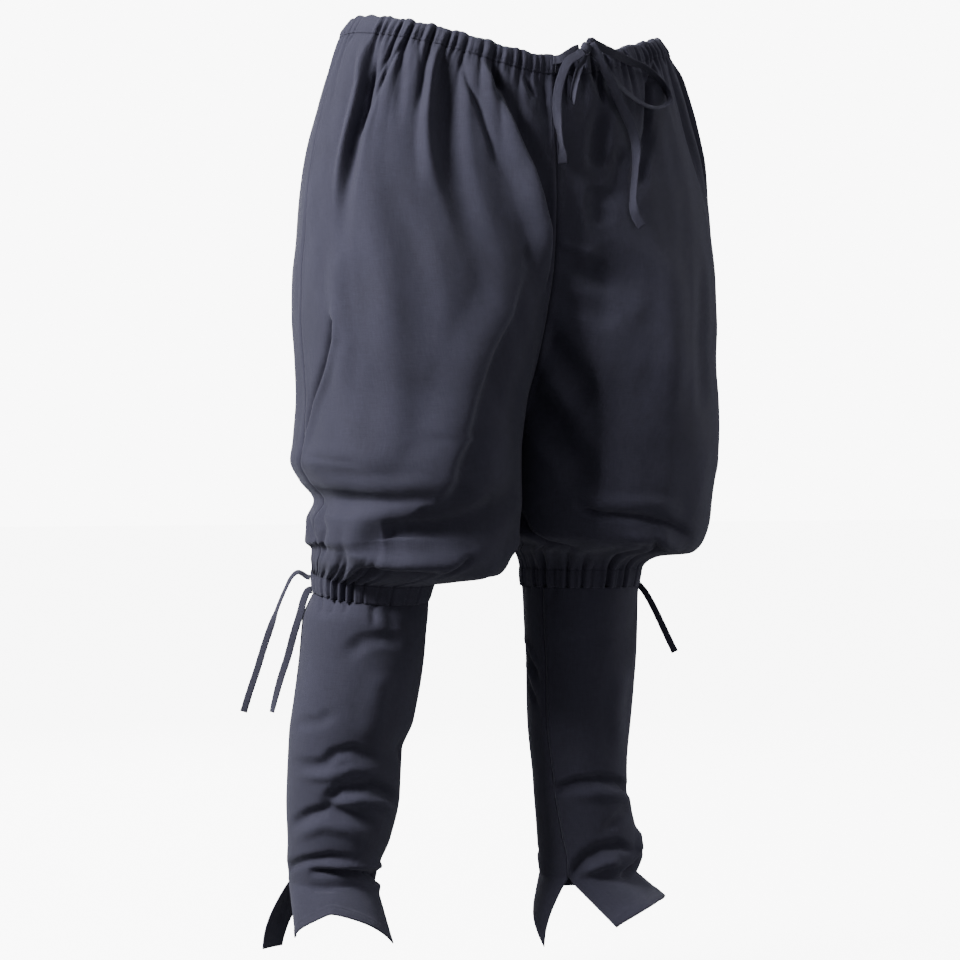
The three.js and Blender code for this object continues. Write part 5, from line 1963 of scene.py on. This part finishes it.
WAIST_LEAD = Tie(
    "waist_tie_lead",
    ((-3.6, -116.5, -52.8), (-0.6, -117.4, -52.6), (2.6, -121, -51.8), (7, -123.8, -48.8),
     (15, -124.2, -43.6), (20, -124.2, -40.8), (23.6, -124.1, -39.7)),
    ((0, 0), (1, 10)), 0.033,
)
TIES = (
    Tie(
        "waist_tie_loop_long",
        ((35.4, -126.5, -34.4), (37.0, -126.5, -31.2), (42, -125.8, -33.4), (56, -123.6, -38),
         (72, -120, -42.5), (95, -111, -47.5), (119, -101, -51), (139, -91, -59), (152, -88, -70),
         (155, -92, -82), (145, -99, -91), (128, -106, -95), (111, -111, -93), (93, -115, -86),
         (77, -118, -76), (62, -120, -63), (50, -122, -51), (43, -123.4, -44.5), (37.8, -123.5, -41.7)),
        ((0, 0), (0.14, 5), (0.3, 62), (0.45, 50), (0.6, 58), (0.8, 45), (1, 20)), 0.29, "knot",
    ),
    Tie(
        "waist_tie_loop_short",
        ((30, -126, -46.6), (27, -126.6, -53), (22, -127.4, -63), (18, -127.6, -78), (16, -127.2, -90),
         (16, -125.8, -96), (16.8, -123.4, -97.4), (17.6, -121.2, -95), (19.4, -120.8, -80),
         (23.6, -121.4, -64), (28.4, -122.4, -52), (30.3, -123, -46)),
        ((0, 20), (0.2, 30), (0.45, 55), (1, 35)), 0.111, "knot", 8.0,
    ),
    Tie(
        "waist_tie_tail_long",
        ((35, -129.8, -34.6), (40.4, -130, -42.2), (46.8, -129, -51.4), (57, -127, -66), (67, -124, -80),
         (78, -121, -98), (89, -119, -115), (96, -118, -132), (97, -120, -150), (94, -123, -169),
         (90, -126, -190), (88, -129, -207), (91, -131, -220), (97, -133, -230)),
        ((0, 20), (0.2, 0), (0.55, 8), (0.68, 52), (0.86, 48), (0.94, 0), (1, -15)), 0.208, width=10.4,
    ),
    Tie(
        "waist_tie_tail_short",
        ((25.85, -129.4, -43.4), (18, -129, -49), (9, -128, -55), (3, -127, -67), (-1, -124, -84),
         (-2, -122, -101), (-1, -122, -120), (2, -122, -137), (4, -123, -152), (4, -124, -165)),
        ((0, 10), (0.3, 0), (0.6, 12), (0.74, 60), (0.86, 66), (0.96, 10), (1, 0)), 0.136, width=10.0,
    ),
    Tie(
        "knee_tie_tail_long_right",
        ((-208.4, 73.2, -614), (-212, 75, -613), (-216.5, 76.4, -609.8), (-222, 77, -608), (-229, 77, -613),
         (-236, 78, -626), (-243, 80, -643), (-250, 82, -663), (-258, 85, -688), (-266, 88, -716),
         (-273, 92, -740), (-279, 95, -762)),
        ((0, 50), (0.2, 62), (0.36, 60), (0.47, 12), (0.85, 12), (1, 0)), 0.183, width=8.0,
    ),
    Tie(
        "knee_tie_tail_short_right",
        ((-209.9, 65.2, -627), (-214, 66.5, -628.5), (-219, 65.5, -637), (-225, 64, -655), (-232, 64, -676),
         (-238, 67, -701), (-244, 72, -724), (-249, 75, -745), (-253, 76, -762)),
        ((0, 20), (0.45, 10), (0.8, 28), (1, 52)), 0.147, width=8.6,
    ),
    Tie(
        "knee_tie_tail_left",
        ((170.5, 9.5, -624.5), (173.5, 7.6, -627.5), (177.5, 4.6, -633.5), (182, 1.2, -642.5),
         (187.2, -2.4, -654.5), (193.2, -6.4, -669.5), (199.6, -11.2, -686.5), (206, -16, -703)),
        ((0, 30), (1, 10)), 0.095, width=8.0,
    ),
)


class Trousers:
    """The whole garment, made piece by piece."""

    slit_stitches = 5.0
    slit_run = (2.0, 116.0)

    def __init__(self) -> None:
        """Sets out its forms and panels."""
        self.legs = {side: LegForm(side) for side in Side}
        self.shins = {side: ShinForm(side) for side in Side}
        self.panels = [BreechesPanel(self.legs[side], face) for side in Side for face in Face]
        self.casing = WaistCasing(self.legs)
        self.knees = [KneeCasing(self.legs[side]) for side in Side]
        self.shin_panels = [ShinPanel(self.shins[side], face) for side in Side for face in Face]

    def sew_casings(self, thread: bpy.types.Material) -> None:
        """Lays the stitch rows on the casings and beside the slit.

        Args:
            thread: The stitches' finish.
        """
        rows = StitchRows("casing_stitches")
        across, on_left = (values[3:-3] for values in self.casing.stations())
        share = np.full(len(across), self.casing.stitches)
        rows.follow(*self.casing.surface(across, on_left, share)[:2])
        around = np.linspace(-0.995, 0.995, 400)
        for knee in self.knees:
            for place in knee.stitches:
                rows.follow(*knee.surface(around, np.full(len(around), place))[:2])
        down = np.linspace(*self.slit_run, 120)
        beside = np.full(len(down), 1 - self.slit_stitches / PANEL_WIDTH)
        for panel in self.panels:
            if panel.face is Face.FRONT:
                points, normals, _ = panel.surface(beside, down)
                rows.follow(panel.keep_on_side(points, beside, down), normals)
        rows.make(thread)

    def sew_hems(self, thread: bpy.types.Material) -> None:
        """Lays the stitch rows along the ankle hems and up the vents.

        Args:
            thread: The stitches' finish.
        """
        rows = StitchRows("hem_stitches")
        inset = VENT_HEM.stitches / SHIN_WIDTH
        for panel in self.shin_panels:
            sign, last = panel.face.sign, panel.form.last
            across = sign * np.linspace(0.03, 0.97, 200)
            length = panel.form.flap_length(panel.face, across)
            along_hem = last + FLAP_SPAN * (1 - ANKLE_HEM.stitches / length)
            rows.follow(*panel.surface(across, along_hem)[:2])
            down = np.linspace(last + 4, last + 50, 60)
            for place in (inset, 1 - inset):
                rows.follow(*panel.surface(np.full(len(down), sign * place), down)[:2])
        rows.make(thread)

    def tie(self, tape: bpy.types.Material) -> None:
        """Makes the knot and the tapes.

        Args:
            tape: Their finish.
        """
        knot, lead = Knot().make(tape), WAIST_LEAD.make(tape)
        for tie in TIES:
            with_pieces = (knot, lead) if tie.name == "waist_tie_loop_long" else ()
            tie.declare(tie.make(tape), with_pieces)

    def make(self) -> None:
        """Makes every piece in order."""
        cloth, tape, thread = CLOTH_FINISH.material(), TAPE_FINISH.material(), THREAD_FINISH.material()
        self.tie(tape)
        self.casing.make(cloth)
        for panel in (*self.panels, *self.knees, *self.shin_panels):
            panel.make(cloth)
        self.sew_casings(thread)
        self.sew_hems(thread)


# The studio


@dataclass(frozen=True)
class Lamp:
    """A square soft lamp.

    Its place is in metres to the picture's right, towards the camera and up, from the garment's middle. Its
    size is its side in metres, and its power is in watts.
    """

    name: str
    place: tuple[float, float, float]
    size: float
    power: float


LAMPS = (
    Lamp("key", (-1.75, 1.15, 1.4), 0.7, 104.0),
    Lamp("fill", (2.3, 1.9, -0.1), 1.4, 11.0),
    Lamp("behind", (-0.7, -2.7, 1.2), 1.2, 55.0),
    Lamp("beside", (2.7, -1.1, 0.9), 1.2, 22.0),
)


@dataclass(frozen=True)
class Studio:
    """A pale floor, soft lights and the camera, which stands level at the photograph's angle."""

    floor_z: float = -1.09
    floor_half: float = 30.0
    distance: float = 3.0
    azimuth: float = -26.0
    pixel: float = 1.118 * MM
    frame: int = 960
    sensor: float = 36.0
    axis_x: float = 508.0
    aim_z: float = -0.5059
    lamps_z: float = -0.5

    def directions(self) -> tuple[np.ndarray, np.ndarray]:
        """The picture's right and the way to the camera."""
        a = math.radians(self.azimuth)
        return np.array([math.cos(a), math.sin(a), 0.0]), np.array([math.sin(a), -math.cos(a), 0.0])

    def aim(self, thing: bpy.types.Object, target: np.ndarray) -> None:
        """Turns a lamp or camera towards a point."""
        away = Vector(target.tolist()) - thing.location
        thing.rotation_euler = away.to_track_quat("-Z", "Y").to_euler()

    def add_camera(self) -> None:
        """Sets up the camera."""
        right, near = self.directions()
        target = right * (self.frame / 2 - self.axis_x) * self.pixel + np.array([0, 0, self.aim_z])
        data = bpy.data.cameras.new("camera")
        data.sensor_width = self.sensor
        data.lens = self.sensor * self.distance / (self.frame * self.pixel)
        camera = bpy.data.objects.new("camera", data)
        camera.location = (target + near * self.distance).tolist()
        bpy.context.scene.collection.objects.link(camera)
        self.aim(camera, target)
        bpy.context.scene.camera = camera

    def add_lamp(self, lamp: Lamp) -> None:
        """Adds a lamp that shines on the middle of the garment.

        Args:
            lamp: The lamp.
        """
        right, near = self.directions()
        middle = np.array([0, 0, self.lamps_z])
        data = bpy.data.lights.new(lamp.name, "AREA")
        data.shape, data.size, data.energy = "SQUARE", lamp.size, lamp.power
        across, forward, up = lamp.place
        made = bpy.data.objects.new(lamp.name, data)
        made.location = (middle + right * across + near * forward + np.array([0, 0, up])).tolist()
        bpy.context.scene.collection.objects.link(made)
        self.aim(made, middle)

    def add_floor(self) -> None:
        """Adds the floor."""
        half, z = self.floor_half / MM, self.floor_z / MM
        points = np.array([(-half, -half, z), (half, -half, z), (half, half, z), (-half, half, z)], float)
        floor = make_mesh("studio_floor", points, [[0, 1, 2, 3]])
        floor.data.materials.append(PaleFinish().material())

    def add_sky(self) -> None:
        """Sets the pale surroundings, which light the garment less than they show."""
        world = bpy.data.worlds.new("surroundings")
        world.use_nodes = True
        bench = NodeBench(world.node_tree)
        light = world.node_tree.nodes["Background"]
        light.inputs["Color"].default_value = (1.0, 1.0, 1.0, 1.0)
        seen = bench.add("ShaderNodeLightPath").outputs["Is Camera Ray"]
        split = bench.add("ShaderNodeSeparateXYZ")
        bench.join(bench.add("ShaderNodeTexCoord").outputs["Generated"], split.inputs[0])
        overhead = bench.span(split.outputs["Z"], 0.4, 0.85, 0.05, 0.5)
        bench.join(bench.span(seen, 0.0, 1.0, overhead, 9.0), light.inputs["Strength"])
        bpy.context.scene.world = world

    def build(self) -> None:
        """Sets up everything."""
        self.add_camera()
        self.add_floor()
        self.add_sky()
        for lamp in LAMPS:
            self.add_lamp(lamp)


def corners(box: tuple) -> list[list[float]]:
    """A box as two plain lists."""
    return [[float(v) for v in corner] for corner in box]


def main() -> None:
    """Loads the frame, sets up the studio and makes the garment."""
    logging.basicConfig(level=logging.INFO, format="%(message)s")
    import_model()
    Studio().build()
    Trousers().make()


if __name__ == "__main__":
    main()
